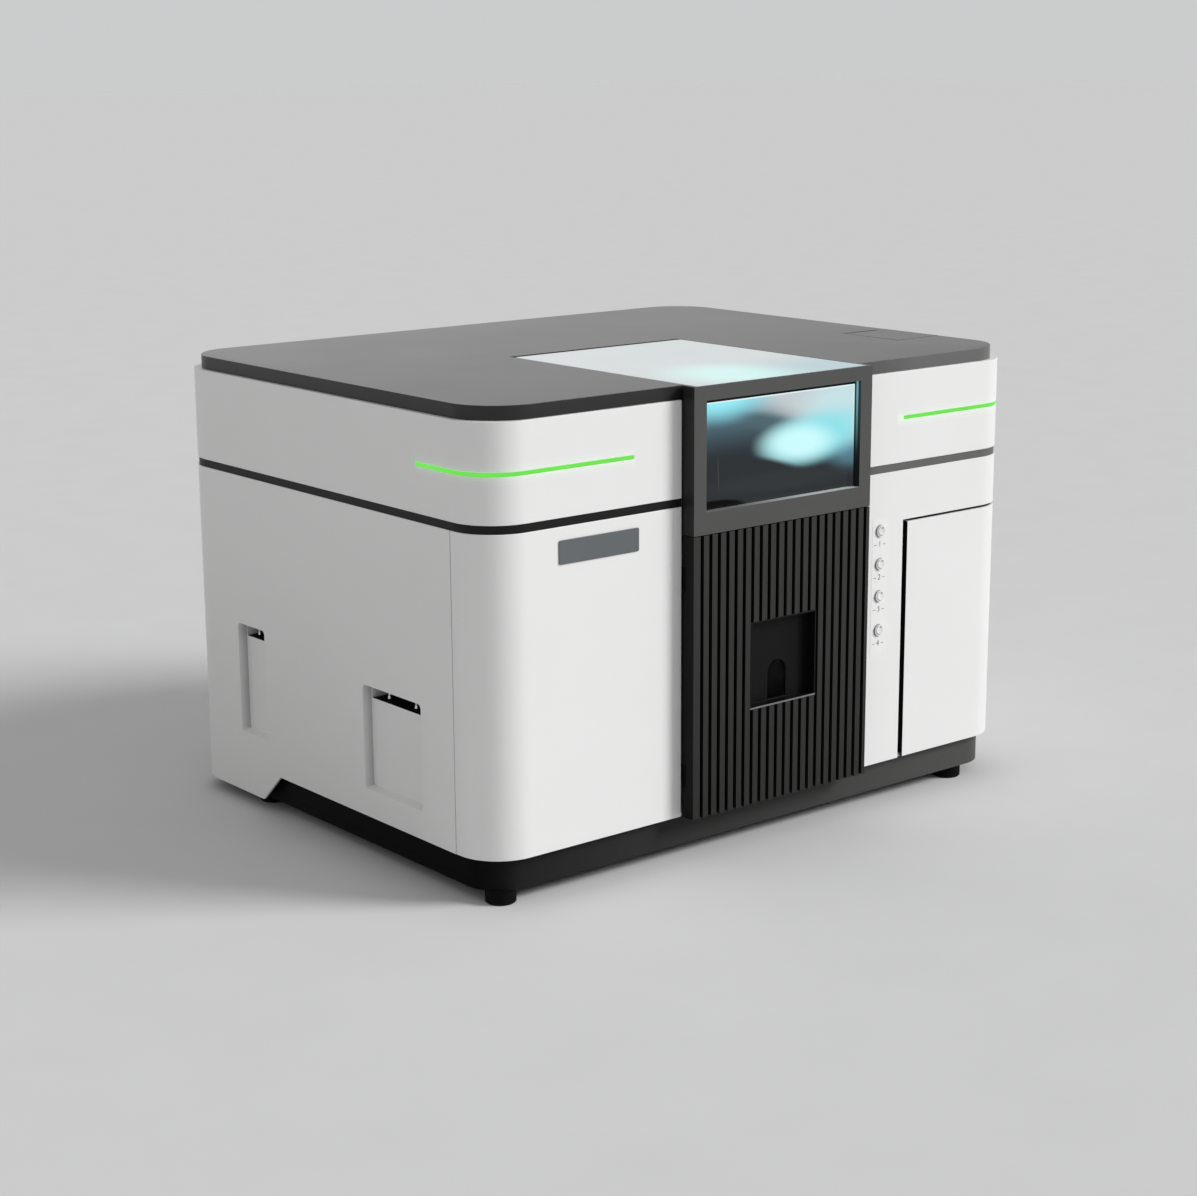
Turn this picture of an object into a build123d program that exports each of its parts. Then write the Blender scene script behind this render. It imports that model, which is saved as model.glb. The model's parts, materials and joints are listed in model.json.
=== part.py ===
from build123d import *
import os

os.makedirs("parts", exist_ok=True)

# Driving dimensions in millimetres. X runs to the right, Y to the back, Z up, and the floor is Z = 0.
body_width = 760
body_depth = 582
body_height = 507.8
corner_radius = 51
foot_height = 14
plinth_height = 35.2
seam_height = 8.8
band_height = 101.5
plate_thickness = 14.8
column_width = 255
column_proud = 18
rear_reach = 24
panel_thickness = 3
panel_gap = 0.8
running_clearance = 0.05
fit_clearance = 0.3
overrun = 5

# Levels and planes that follow from them. The origin is the middle of the footprint.
top_z = body_height
plate_z = top_z - plate_thickness
band_z = plate_z - band_height
seam_z = band_z - seam_height
panel_z = foot_height + plinth_height
side_x = body_width / 2
column_x = column_width / 2
column_y = -(body_depth + column_proud + rear_reach) / 2
front_y = column_y + column_proud
rear_y = front_y + body_depth
mid_y = (front_y + rear_y) / 2
panel_end_x = column_x + panel_gap

# The light path crosses the burner bay from the lamps on the right to the monochromator on the left.
beam_rise = 23.1
beam_setback = 144
beam_z = band_z + beam_rise
beam_y = front_y + beam_setback

# All hinge pins are the same drawn rod, cut to four lengths.
pin_radius = 1.55
pin_bore_radius = pin_radius + running_clearance


def block(x_low, x_high, y_low, y_high, z_low, z_high, mode=Mode.ADD):
    """Add, cut or keep the box between two opposite corners."""
    with Locations(((x_low + x_high) / 2, (y_low + y_high) / 2, (z_low + z_high) / 2)):
        Box(abs(x_high - x_low), abs(y_high - y_low), abs(z_high - z_low), mode=mode)


def bar(start, direction, length, radius, mode=Mode.ADD):
    """Add or cut a round bar that starts at a point and runs in a direction."""
    with Locations(Plane(origin=start, z_dir=direction)):
        Cylinder(radius, length, align=(Align.CENTER, Align.CENTER, Align.MIN), mode=mode)


def cabinet_outline(inset, mode=Mode.ADD):
    """Draw the cabinet's rounded plan, drawn in by an inset."""
    with Locations((0, mid_y)):
        RectangleRounded(body_width - 2 * inset, body_depth - 2 * inset, corner_radius - inset, mode=mode)


def cabinet_wall(z_low, z_high, inset, thickness):
    """Raise a closed wall that follows the cabinet's plan."""
    with BuildSketch(Plane.XY.offset(z_low)) as wall_plan:
        cabinet_outline(inset)
        cabinet_outline(inset + thickness, Mode.SUBTRACT)
    extrude(wall_plan.sketch, amount=z_high - z_low)


# The base pan is a black folded tray, set in behind the white panels.
plinth_inset = 10.6
pan_floor = 4
pan_wall = 3
foot_radius = 16
foot_stud_radius = 5
foot_stud_length = 12
left_foot_inset = 33
right_foot_inset = 68
front_foot_inset = 27
rear_foot_inset = 121
foot_chamfer = 1.2
foot_places = [(x, y) for x in (left_foot_inset - side_x, side_x - right_foot_inset)
               for y in (front_y + front_foot_inset, rear_y - rear_foot_inset)]
with BuildPart() as base_pan:
    cabinet_wall(foot_height, panel_z, plinth_inset, pan_wall)
    with BuildSketch(Plane.XY.offset(foot_height)):
        cabinet_outline(plinth_inset)
    extrude(amount=pan_floor)
    for x, y in foot_places:
        bar((x, y, foot_height - overrun), (0, 0, 1), pan_floor + 2 * overrun,
            foot_stud_radius + running_clearance, Mode.SUBTRACT)
base_pan.part.label = "base_pan"
export_step(base_pan.part, "parts/base_pan.step")

# Four levelling feet are rubber-faced discs on a threaded stud.
with BuildPart() as levelling_feet:
    for x, y in foot_places:
        bar((x, y, 0), (0, 0, 1), foot_height, foot_radius)
        bar((x, y, 0), (0, 0, 1), foot_height + foot_stud_length, foot_stud_radius)
    chamfer(levelling_feet.edges().filter_by(GeomType.CIRCLE).group_by(Axis.Z)[0], length=foot_chamfer)
levelling_feet.part.label = "levelling_feet"
export_step(levelling_feet.part, "parts/levelling_feet.step")

# The deck is the steel floor of the cabinet. It closes the pan and stands just inside the panels.
# A small notch in its edge leaves room for the rolled rear edge of the lamp door.
deck_thickness = 4
front_wrap = 57
door_barrel_radius = 3.5
barrel_room = 1.3
deck_z = panel_z + deck_thickness
side_seam_y = front_y + front_wrap
lamp_axis_x = side_x - door_barrel_radius
lamp_axis_y = side_seam_y - door_barrel_radius
with BuildPart() as deck_plate:
    with BuildSketch(Plane.XY.offset(panel_z)):
        cabinet_outline(panel_thickness + fit_clearance)
    extrude(amount=deck_thickness)
    bar((lamp_axis_x, lamp_axis_y, panel_z - overrun), (0, 0, 1), deck_thickness + 2 * overrun,
        door_barrel_radius + barrel_room, Mode.SUBTRACT)
deck_plate.part.label = "deck_plate"
export_step(deck_plate.part, "parts/deck_plate.step")

# Square tube posts carry the optical bench on their lower half and the top plate on their upper half.
post_size = 24
shell_flange_thickness = 2
post_wall = 2
bench_drop = 172
bench_thickness = 10
bay_side_gap = 6.5
liner_thickness = 2
front_post_setback = 74
rear_post_setback = 68
bench_z = beam_z - bench_drop
bench_top = bench_z + bench_thickness
bay_half_width = column_x - bay_side_gap
side_post_y = front_y + front_post_setback
rear_post_y = rear_y - rear_post_setback
bay_post_x = bay_half_width + liner_thickness + post_size / 2
side_post_x = side_x - panel_thickness - post_size / 2
front_post_y = front_y + panel_thickness + post_size / 2
back_post_y = rear_y - panel_thickness - post_size / 2
post_places = [(side * x, y) for side in (-1, 1) for x, y in (
    (bay_post_x, front_post_y), (bay_post_x, back_post_y),
    (side_post_x, side_post_y), (side_post_x, rear_post_y))]
with BuildPart() as frame_posts:
    for z_low, z_high in ((deck_z, bench_z), (bench_top, plate_z - shell_flange_thickness)):
        with BuildSketch(Plane.XY.offset(z_low)):
            with Locations(*post_places):
                Rectangle(post_size, post_size)
                Rectangle(post_size - 2 * post_wall, post_size - 2 * post_wall, mode=Mode.SUBTRACT)
        extrude(amount=z_high - z_low)
frame_posts.part.label = "frame_posts"
export_step(frame_posts.part, "parts/frame_posts.step")

# The optical bench is one flat casting between the two halves of the posts, open at the burner bay.
lamp_bay_gap = 22.5
bench_setback = 39
bay_back_shift = 5
lamp_bay_x = column_x + lamp_bay_gap
bench_right_front_y = front_y + bench_setback
bay_back_y = mid_y + bay_back_shift
with BuildPart() as optical_bench:
    with BuildSketch(Plane.XY.offset(bench_z)):
        cabinet_outline(panel_thickness + fit_clearance)
    extrude(amount=bench_thickness)
    block(-bay_half_width - liner_thickness, bay_half_width + liner_thickness, column_y, bay_back_y,
          bench_z - overrun, bench_top + overrun, Mode.SUBTRACT)
    block(lamp_bay_x, side_x, column_y, bench_right_front_y,
          bench_z - overrun, bench_top + overrun, Mode.SUBTRACT)
    bar((lamp_axis_x, lamp_axis_y, bench_z - overrun), (0, 0, 1), bench_thickness + 2 * overrun,
        door_barrel_radius + barrel_room, Mode.SUBTRACT)
optical_bench.part.label = "optical_bench"
export_step(optical_bench.part, "parts/optical_bench.step")

# The burner bay liner is a folded stainless box, open to the front and the top, with a beam hole each side.
liner_front_y = front_y + panel_thickness
liner_top_drop = 8.4
liner_top = plate_z - liner_top_drop
beam_hole_radius = 13
beam_boss_radius = 19
beam_boss_length = 9
window_disc_thickness = 3
bay_wall_x = bay_half_width + liner_thickness
with BuildPart() as burner_bay_liner:
    block(-bay_wall_x, bay_wall_x, liner_front_y, bay_back_y, deck_z, liner_top)
    block(-bay_half_width, bay_half_width, liner_front_y - overrun, bay_back_y - liner_thickness,
          deck_z + liner_thickness, liner_top + overrun, Mode.SUBTRACT)
    for side in (-1, 1):
        bar((side * bay_wall_x, beam_y, beam_z), (side, 0, 0), beam_boss_length, beam_boss_radius)
        bar((side * (bay_half_width - overrun), beam_y, beam_z), (side, 0, 0),
            liner_thickness + beam_boss_length + 2 * overrun, beam_hole_radius, Mode.SUBTRACT)
burner_bay_liner.part.label = "burner_bay_liner"
export_step(burner_bay_liner.part, "parts/burner_bay_liner.step")

# Two quartz discs close the beam holes.
with BuildPart() as beam_windows:
    for side in (-1, 1):
        bar((side * bay_wall_x, beam_y, beam_z), (side, 0, 0), window_disc_thickness,
            beam_hole_radius - running_clearance)
beam_windows.part.label = "beam_windows"
export_step(beam_windows.part, "parts/beam_windows.step")

# The left and right side panels wrap the rear corners, drop to a skirt at the back
# and carry two grip pockets each. A pocket's floor stops short of its top and leaves a finger slot.
rear_wrap = 55
skirt_rise = 0.7
skirt_top_length = 190
skirt_foot_length = 152.6
pocket_depth = 10
pocket_corner = 5
pocket_taper = 12
slot_height = 16
cup_depth = 18
front_pocket_setback = 167
front_pocket_width = 106
front_pocket_rise = 30.4
front_pocket_drop = 49
rear_pocket_setback = 139
rear_pocket_width = 56
rear_pocket_rise = 37.4
rear_pocket_drop = 29.5
pockets = ((front_y + front_pocket_setback, front_pocket_width,
            panel_z + front_pocket_rise, bench_z - front_pocket_drop),
           (rear_y - rear_pocket_setback, rear_pocket_width,
            panel_z + rear_pocket_rise, bench_z - rear_pocket_drop))
rear_seam_x = side_x - rear_wrap
skirt_z = foot_height + skirt_rise
skirt_top_y = rear_y - skirt_top_length
skirt_foot_y = rear_y - skirt_foot_length
pocket_floor_x = side_x - pocket_depth
pocket_inner_x = pocket_floor_x - panel_thickness
for side, name in ((-1, "left_side_panel"), (1, "right_side_panel")):
    with BuildPart() as side_panel:
        cabinet_wall(skirt_z, seam_z, 0, panel_thickness)
        block(side * (rear_seam_x + panel_gap / 2), side * (side_x + overrun),
              side_seam_y + panel_gap / 2, rear_y + overrun, skirt_z, seam_z, Mode.INTERSECT)
        with BuildSketch(Plane.YZ):
            with BuildLine():
                Polyline((side_seam_y - overrun, panel_z), (skirt_top_y, panel_z), (skirt_foot_y, skirt_z),
                         (skirt_foot_y, skirt_z - overrun), (side_seam_y - overrun, skirt_z - overrun),
                         close=True)
            make_face()
        extrude(amount=side_x + overrun, both=True, mode=Mode.SUBTRACT)
        for middle_y, width, low_z, high_z in pockets:
            half = width / 2
            slot_z = high_z - slot_height
            block(side * (side_x - panel_thickness), side * pocket_inner_x,
                  middle_y - half - panel_thickness, middle_y + half + panel_thickness,
                  low_z - panel_thickness, high_z + panel_thickness)
            block(side * pocket_inner_x, side * (pocket_inner_x - cup_depth), middle_y - half, middle_y + half,
                  slot_z - panel_thickness, high_z + panel_thickness)
            inward = Plane(origin=(side * side_x, middle_y, (low_z + high_z) / 2),
                           x_dir=(0, 1, 0), z_dir=(-side, 0, 0))
            with BuildSketch(inward):
                RectangleRounded(width, high_z - low_z, pocket_corner)
            extrude(amount=pocket_depth, taper=pocket_taper, mode=Mode.SUBTRACT)
            block(side * (pocket_floor_x + panel_thickness), side * (pocket_inner_x - cup_depth + panel_thickness),
                  middle_y - half + panel_thickness, middle_y + half - panel_thickness,
                  slot_z, high_z - panel_thickness, Mode.SUBTRACT)
    side_panel.part.label = name
    export_step(side_panel.part, "parts/" + name + ".step")

# The front left panel is bent round the front corner and ends beside the column.
with BuildPart() as front_left_panel:
    cabinet_wall(panel_z, seam_z, 0, panel_thickness)
    block(-side_x - overrun, -panel_end_x, front_y - overrun, side_seam_y - panel_gap / 2,
          panel_z, seam_z, Mode.INTERSECT)
front_left_panel.part.label = "front_left_panel"
export_step(front_left_panel.part, "parts/front_left_panel.step")

# The front right panel is a strip beside the column and a header over the lamp door.
# The strip has four button holes and two posts for the button board.
strip_width = 71.1
finger_gap = 7.5
header_height = 56.3
header_gap = 2.9
button_inset = 34.7
button_radius = 6.5
button_travel = 2
first_drop = 64.3
second_drop = 101.7
third_drop = 138.2
last_drop = 177.3
button_drops = (first_drop, second_drop, third_drop, last_drop)
board_post_radius = 3
board_setback = 8
channel_thickness = 2.5
channel_depth = 16
strip_end_x = panel_end_x + strip_width
header_z = seam_z - header_height
button_x = panel_end_x + button_inset
panel_back_y = front_y + panel_thickness
board_y = panel_back_y + board_setback
board_post_zs = (seam_z - (first_drop + second_drop) / 2, seam_z - (third_drop + last_drop) / 2)
with BuildPart() as front_right_panel:
    cabinet_wall(panel_z, seam_z, 0, panel_thickness)
    block(panel_end_x, side_x + overrun, front_y - overrun, side_seam_y - panel_gap / 2,
          panel_z, seam_z, Mode.INTERSECT)
    block(strip_end_x, side_x + overrun, front_y - overrun, rear_y, panel_z - overrun, header_z, Mode.SUBTRACT)
    block(strip_end_x - channel_thickness, strip_end_x, panel_back_y, panel_back_y + channel_depth,
          deck_z, header_z)
    for drop in button_drops:
        bar((button_x, front_y - overrun, seam_z - drop), (0, 1, 0), panel_thickness + 2 * overrun,
            button_radius + fit_clearance, Mode.SUBTRACT)
    for z in board_post_zs:
        bar((button_x, panel_back_y, z), (0, 1, 0), board_setback, board_post_radius)
front_right_panel.part.label = "front_right_panel"
export_step(front_right_panel.part, "parts/front_right_panel.step")

# Each push button is a dished cap with a retaining collar and a stem that reaches towards its switch.
button_proud = 2.2
collar_radius = 8
collar_thickness = 1.5
collar_clearance = 0.1
stem_radius = 2.5
stem_length = 3.4
dish_radius = 17
dish_depth = 1.1
button_edge = 0.5
for number, drop in enumerate(button_drops, start=1):
    z = seam_z - drop
    collar_y = panel_back_y + collar_clearance
    with BuildPart() as button:
        bar((button_x, front_y - button_proud, z), (0, 1, 0), collar_y - front_y + button_proud, button_radius)
        fillet(button.edges().filter_by(GeomType.CIRCLE).sort_by(Axis.Y)[0], radius=button_edge)
        bar((button_x, collar_y, z), (0, 1, 0), collar_thickness, collar_radius)
        bar((button_x, collar_y + collar_thickness, z), (0, 1, 0), stem_length, stem_radius)
        with Locations((button_x, front_y - button_proud + dish_depth - dish_radius, z)):
            Sphere(dish_radius, mode=Mode.SUBTRACT)
    name = "button_" + str(number)
    button.part.label = name
    export_step(button.part, "parts/" + name + ".step")

# The button board is a strip of circuit board with one small switch behind each stem.
board_width = 22
board_thickness = 1.6
board_margin = 14
switch_size = 6
switch_height = 0.6
with BuildPart() as button_board:
    block(button_x - board_width / 2, button_x + board_width / 2, board_y, board_y + board_thickness,
          seam_z - last_drop - board_margin, seam_z - first_drop + board_margin)
    for drop in button_drops:
        block(button_x - switch_size / 2, button_x + switch_size / 2, board_y - switch_height, board_y,
              seam_z - drop - switch_size / 2, seam_z - drop + switch_size / 2)
button_board.part.label = "button_board"
export_step(button_board.part, "parts/button_board.step")

# The lamp door is bent round the front right corner and hangs on a rolled edge at its rear.
door_rise = 0.4
door_lip = 2.5
door_lip_depth = 14
knuckle_height = 24
knuckle_margin = 46
knuckle_clearance = 0.5
lamp_door_x = strip_end_x + finger_gap
lamp_door_z = panel_z + door_rise
lamp_door_top = header_z - header_gap
lamp_knuckle_zs = (lamp_door_z + knuckle_margin, lamp_door_top - knuckle_margin)
knuckle_radius = door_barrel_radius - fit_clearance
with BuildPart() as lamp_door:
    cabinet_wall(lamp_door_z, lamp_door_top, 0, panel_thickness)
    block(lamp_door_x, side_x + overrun, front_y - overrun, lamp_axis_y,
          lamp_door_z, lamp_door_top, Mode.INTERSECT)
    block(lamp_door_x, lamp_door_x + door_lip, panel_back_y, panel_back_y + door_lip_depth,
          deck_z + fit_clearance, lamp_door_top)
    bar((lamp_axis_x, lamp_axis_y, lamp_door_z), (0, 0, 1), lamp_door_top - lamp_door_z, door_barrel_radius)
    for z in lamp_knuckle_zs:
        half = knuckle_height / 2 + knuckle_clearance
        block(lamp_axis_x - 2 * door_barrel_radius, side_x + overrun,
              lamp_axis_y - door_barrel_radius - knuckle_clearance, rear_y, z - half, z + half, Mode.SUBTRACT)
    bar((lamp_axis_x, lamp_axis_y, lamp_door_z - overrun), (0, 0, 1),
        lamp_door_top - lamp_door_z + 2 * overrun, pin_bore_radius, Mode.SUBTRACT)
lamp_door.part.label = "lamp_door"
export_step(lamp_door.part, "parts/lamp_door.step")

# Two fixed knuckles hold the lamp door. Their leaves are screwed to the front face of the side post.
leaf_thickness = 3.6
leaf_inset = 0.2
post_front_y = side_post_y - post_size / 2
leaf_x = side_x - panel_thickness - leaf_inset
with BuildPart() as lamp_door_knuckles:
    for z in lamp_knuckle_zs:
        low_z = z - knuckle_height / 2
        bar((lamp_axis_x, lamp_axis_y, low_z), (0, 0, 1), knuckle_height, knuckle_radius)
        block(leaf_x - leaf_thickness, leaf_x, lamp_axis_y, post_front_y, low_z, low_z + knuckle_height)
        bar((lamp_axis_x, lamp_axis_y, low_z - overrun), (0, 0, 1),
            knuckle_height + 2 * overrun, pin_bore_radius, Mode.SUBTRACT)
lamp_door_knuckles.part.label = "lamp_door_knuckles"
export_step(lamp_door_knuckles.part, "parts/lamp_door_knuckles.step")

# The rear panel is flat, with louvres, a fan guard, a mains cut-out and holes for the gas fittings.
fan_x = 0
fan_drop = 70.7
fan_size = 92
fan_bore = 42
vent_slot = 3.6
vent_pitch = 7
guard_count = 11
louvre_length = 90
louvre_count = 9
louvre_inset = 170
louvre_drop = 114.7
louvre_pitch = 10
mains_drop = 82.6
mains_width = 78
mains_height = 32
mains_depth = 26
gas_edge_gap = 2.6
gas_post_gap = 10
gas_headroom = 40
fitting_pitch = 34
fitting_radius = 7
rear_panel_x = rear_seam_x - panel_gap / 2
post_edge_x = bay_post_x + post_size / 2
fan_z = seam_z - fan_drop
louvre_x = side_x - louvre_inset
louvre_z = seam_z - louvre_drop
mains_x = (post_edge_x + rear_panel_x) / 2
mains_z = bench_z - mains_drop
gas_left_x = gas_edge_gap - rear_panel_x
gas_right_x = -post_edge_x - gas_post_gap
gas_x = (gas_left_x + gas_right_x) / 2
gas_top = bench_z - gas_headroom
fitting_xs = (gas_x - fitting_pitch, gas_x, gas_x + fitting_pitch)
fitting_z = (deck_z + gas_top) / 2
rear_inner_y = rear_y - panel_thickness
with BuildPart() as rear_panel:
    block(-rear_panel_x, rear_panel_x, rear_inner_y, rear_y, panel_z, seam_z)
    for row in range(guard_count):
        drop = (row - (guard_count - 1) / 2) * vent_pitch
        half = (fan_bore ** 2 - drop ** 2) ** 0.5
        block(fan_x - half, fan_x + half, rear_inner_y - overrun, rear_y + overrun,
              fan_z + drop - vent_slot / 2, fan_z + drop + vent_slot / 2, Mode.SUBTRACT)
    for side in (-1, 1):
        for row in range(louvre_count):
            z = louvre_z + row * louvre_pitch
            block(side * louvre_x - louvre_length / 2, side * louvre_x + louvre_length / 2,
                  rear_inner_y - overrun, rear_y + overrun, z, z + vent_slot, Mode.SUBTRACT)
    block(mains_x - mains_width / 2 - fit_clearance, mains_x + mains_width / 2 + fit_clearance,
          rear_inner_y - overrun, rear_y + overrun,
          mains_z - mains_height / 2 - fit_clearance, mains_z + mains_height / 2 + fit_clearance, Mode.SUBTRACT)
    for x in fitting_xs:
        bar((x, rear_inner_y - overrun, fitting_z), (0, 1, 0), panel_thickness + 2 * overrun,
            fitting_radius + fit_clearance, Mode.SUBTRACT)
rear_panel.part.label = "rear_panel"
export_step(rear_panel.part, "parts/rear_panel.step")

# Pan head screws hold the rear panel along both sides and its top.
screw_radius = 4
screw_height = 2.2
screw_margin = 12
screw_edge = 0.8
screw_places = [(x, z) for x in (-rear_panel_x + screw_margin, rear_panel_x - screw_margin)
                for z in (panel_z + screw_margin, (panel_z + seam_z) / 2, seam_z - screw_margin)]
screw_places += [(x, seam_z - screw_margin) for x in (-bay_post_x, bay_post_x)]
screw_places += [(x, panel_z + screw_margin) for x in (-bay_post_x, bay_post_x)]
with BuildPart() as rear_screws:
    for x, z in screw_places:
        bar((x, rear_y, z), (0, 1, 0), screw_height, screw_radius)
    fillet(rear_screws.edges().filter_by(GeomType.CIRCLE).group_by(Axis.Y)[-1], radius=screw_edge)
rear_screws.part.label = "rear_screws"
export_step(rear_screws.part, "parts/rear_screws.step")

# The black seam strip fills the joint between the lower panels and the upper shell.
seam_inset = 1.2
with BuildPart() as seam_strip:
    cabinet_wall(seam_z, band_z, seam_inset, panel_thickness - seam_inset)
    block(-panel_end_x, panel_end_x, column_y, 0, seam_z - overrun, band_z + overrun, Mode.SUBTRACT)
seam_strip.part.label = "seam_strip"
export_step(seam_strip.part, "parts/seam_strip.step")

# The upper shell is a white band with an inner flange on top and a slot for a light bar at each front corner.
shell_flange = 14
light_rise = 48.1
light_height = 4
light_left_gap = 63.7
light_right_gap = 68.7
light_wrap = 114
light_left_x = -panel_end_x - light_left_gap
light_right_x = panel_end_x + light_right_gap
light_end_y = front_y + light_wrap
light_z = band_z + light_rise
light_ends = ((-1, light_left_x, "light_bar_left"), (1, light_right_x, "light_bar_right"))
with BuildPart() as upper_shell:
    cabinet_wall(band_z, plate_z, 0, panel_thickness)
    cabinet_wall(plate_z - shell_flange_thickness, plate_z, 0, shell_flange)
    block(-panel_end_x, panel_end_x, column_y, 0, band_z - overrun, plate_z + overrun, Mode.SUBTRACT)
    for side, end_x, name in light_ends:
        block(side * (side_x + overrun), end_x, front_y - overrun, light_end_y,
              light_z, light_z + light_height, Mode.SUBTRACT)
upper_shell.part.label = "upper_shell"
export_step(upper_shell.part, "parts/upper_shell.step")

# A light bar is a bent acrylic strip, flush in its slot, with a wider back that lies against the shell.
light_fit = 0.15
light_back = 3
light_back_thickness = 1.5
for side, end_x, name in light_ends:
    with BuildPart() as light_bar:
        cabinet_wall(light_z + light_fit, light_z + light_height - light_fit, 0, panel_thickness)
        cabinet_wall(light_z - light_back, light_z + light_height + light_back,
                     panel_thickness, light_back_thickness)
        block(side * (side_x + overrun), end_x + side * light_fit, front_y - overrun, light_end_y - light_fit,
              light_z - overrun, light_z + light_height + overrun, Mode.INTERSECT)
        block(side * (side_x - panel_thickness), side * (side_post_x - post_size),
              side_post_y - post_size / 2 - light_fit, side_post_y + post_size / 2 + light_fit,
              light_z - overrun, light_z + light_height + overrun, Mode.SUBTRACT)
    light_bar.part.label = name
    export_step(light_bar.part, "parts/" + name + ".step")

# The nameplate is a thin grey plate with nothing on it.
nameplate_shift = 9.35
nameplate_width = 103
nameplate_height = 24.5
nameplate_drop = 13.5
nameplate_thickness = 1.2
nameplate_corner = 2
nameplate_x = (corner_radius - side_x - panel_end_x) / 2 - nameplate_shift
with BuildPart() as nameplate:
    with BuildSketch(Plane(origin=(nameplate_x, front_y, seam_z - nameplate_drop - nameplate_height / 2),
                           x_dir=(1, 0, 0), z_dir=(0, -1, 0))):
        RectangleRounded(nameplate_width, nameplate_height, nameplate_corner)
    extrude(amount=nameplate_thickness)
nameplate.part.label = "nameplate"
export_step(nameplate.part, "parts/nameplate.step")

# The hood is the upper part of the column: a picture frame in front, two arms and a rear rail on a hinge.
hood_height = 154
top_rail = 15.4
bottom_rail = 23.3
side_rail = 17
window_setback = 9.5
window_thickness = 4
window_lap = 4
glass_inset = 6
glass_thickness = 3.2
glass_lip = 3
glass_clearance = 0.2
glass_back = 3.9
glass_corner = 3
arm_width = 9.5
arm_height = 18
hood_axis_inset = 3
hood_axis_drop = 3.8
rail_radius = 3.4
rail_ledge = 13
rail_ledge_height = 6
pin_depth = 12
hood_z = top_z - hood_height
hood_axis_y = bay_back_y - hood_axis_inset
window_half_width = column_x - side_rail
glass_half_width = column_x - glass_inset
window_z = hood_z + bottom_rail
window_top = top_z - top_rail
hood_axis_z = top_z - hood_axis_drop
glass_z = top_z - glass_thickness
glass_front_y = column_y + glass_lip
glass_back_y = hood_axis_y - glass_back
window_back_y = column_y + window_setback
with BuildPart() as hood_frame:
    block(-column_x, column_x, column_y, front_y, hood_z, top_z)
    block(-window_half_width, window_half_width, column_y - overrun, front_y + overrun,
          window_z, window_top, Mode.SUBTRACT)
    block(-window_half_width - window_lap, window_half_width + window_lap, window_back_y, front_y + overrun,
          window_z - window_lap, window_top + window_lap, Mode.SUBTRACT)
    for side in (-1, 1):
        block(side * (glass_half_width - arm_width), side * glass_half_width, front_y, hood_axis_y,
              glass_z - arm_height, glass_z)
    block(-glass_half_width, glass_half_width, hood_axis_y - rail_ledge, hood_axis_y,
          glass_z - rail_ledge_height, glass_z)
    bar((-glass_half_width, hood_axis_y, hood_axis_z), (1, 0, 0), 2 * glass_half_width, rail_radius)
    block(-glass_half_width - glass_clearance, glass_half_width + glass_clearance,
          glass_front_y - glass_clearance, glass_back_y + glass_clearance,
          glass_z, top_z + overrun, Mode.SUBTRACT)
    for side in (-1, 1):
        bar((side * (glass_half_width + overrun), hood_axis_y, hood_axis_z), (-side, 0, 0),
            pin_depth + overrun, pin_bore_radius, Mode.SUBTRACT)
hood_frame.part.label = "hood_frame"
export_step(hood_frame.part, "parts/hood_frame.step")

# The front window is a sheet of tinted safety glass in the frame's rebate.
with BuildPart() as front_window:
    block(-window_half_width - window_lap + glass_clearance, window_half_width + window_lap - glass_clearance,
          window_back_y, window_back_y + window_thickness,
          window_z - window_lap + glass_clearance, window_top + window_lap - glass_clearance)
front_window.part.label = "front_window"
export_step(front_window.part, "parts/front_window.step")

# The top window lies flush in the top of the hood, on the arms and the rear rail.
with BuildPart() as top_window:
    with BuildSketch(Plane.XY.offset(glass_z)) as top_outline:
        with Locations((0, (glass_front_y + glass_back_y) / 2)):
            Rectangle(2 * glass_half_width, glass_back_y - glass_front_y)
        fillet(top_outline.vertices().group_by(Axis.Y)[-1], radius=glass_corner)
    extrude(amount=glass_thickness)
top_window.part.label = "top_window"
export_step(top_window.part, "parts/top_window.step")

# The top plate is a hollow dark cover, notched for the hood and open at the right for the hatch.
plate_side_inset = 5.5
plate_end_inset = 4
plate_corner = 56
plate_skin = 3
plate_wall = 3
plate_edge = 0.8
notch_gap = 1.5
notch_wall = 14
rail_gap = 0.8
hatch_width = 68.2
hatch_taper = 1.7
hatch_front_reach = 28
hatch_back_reach = 56
hatch_gap = 2.2
hatch_axis_drop = 3.6
hatch_lug = 16
hatch_lug_depth = 5.5
hatch_barrel = 3.4
hatch_rear_gap = 4.6
hatch_wall = 14
plate_x = side_x - plate_side_inset
hatch_x = plate_x - hatch_width
hatch_front_y = beam_y - hatch_front_reach
hatch_axis_y = beam_y + hatch_back_reach
notch_x = glass_half_width + notch_gap
notch_back_y = hood_axis_y + rail_radius + rail_gap
hatch_open_x = hatch_x - hatch_taper - panel_gap
hatch_lug_x = plate_x - hatch_lug
hatch_lug_y = hatch_axis_y - hatch_lug_depth
hatch_back_y = hatch_axis_y + hatch_rear_gap
hatch_axis_z = top_z - hatch_axis_drop
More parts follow.
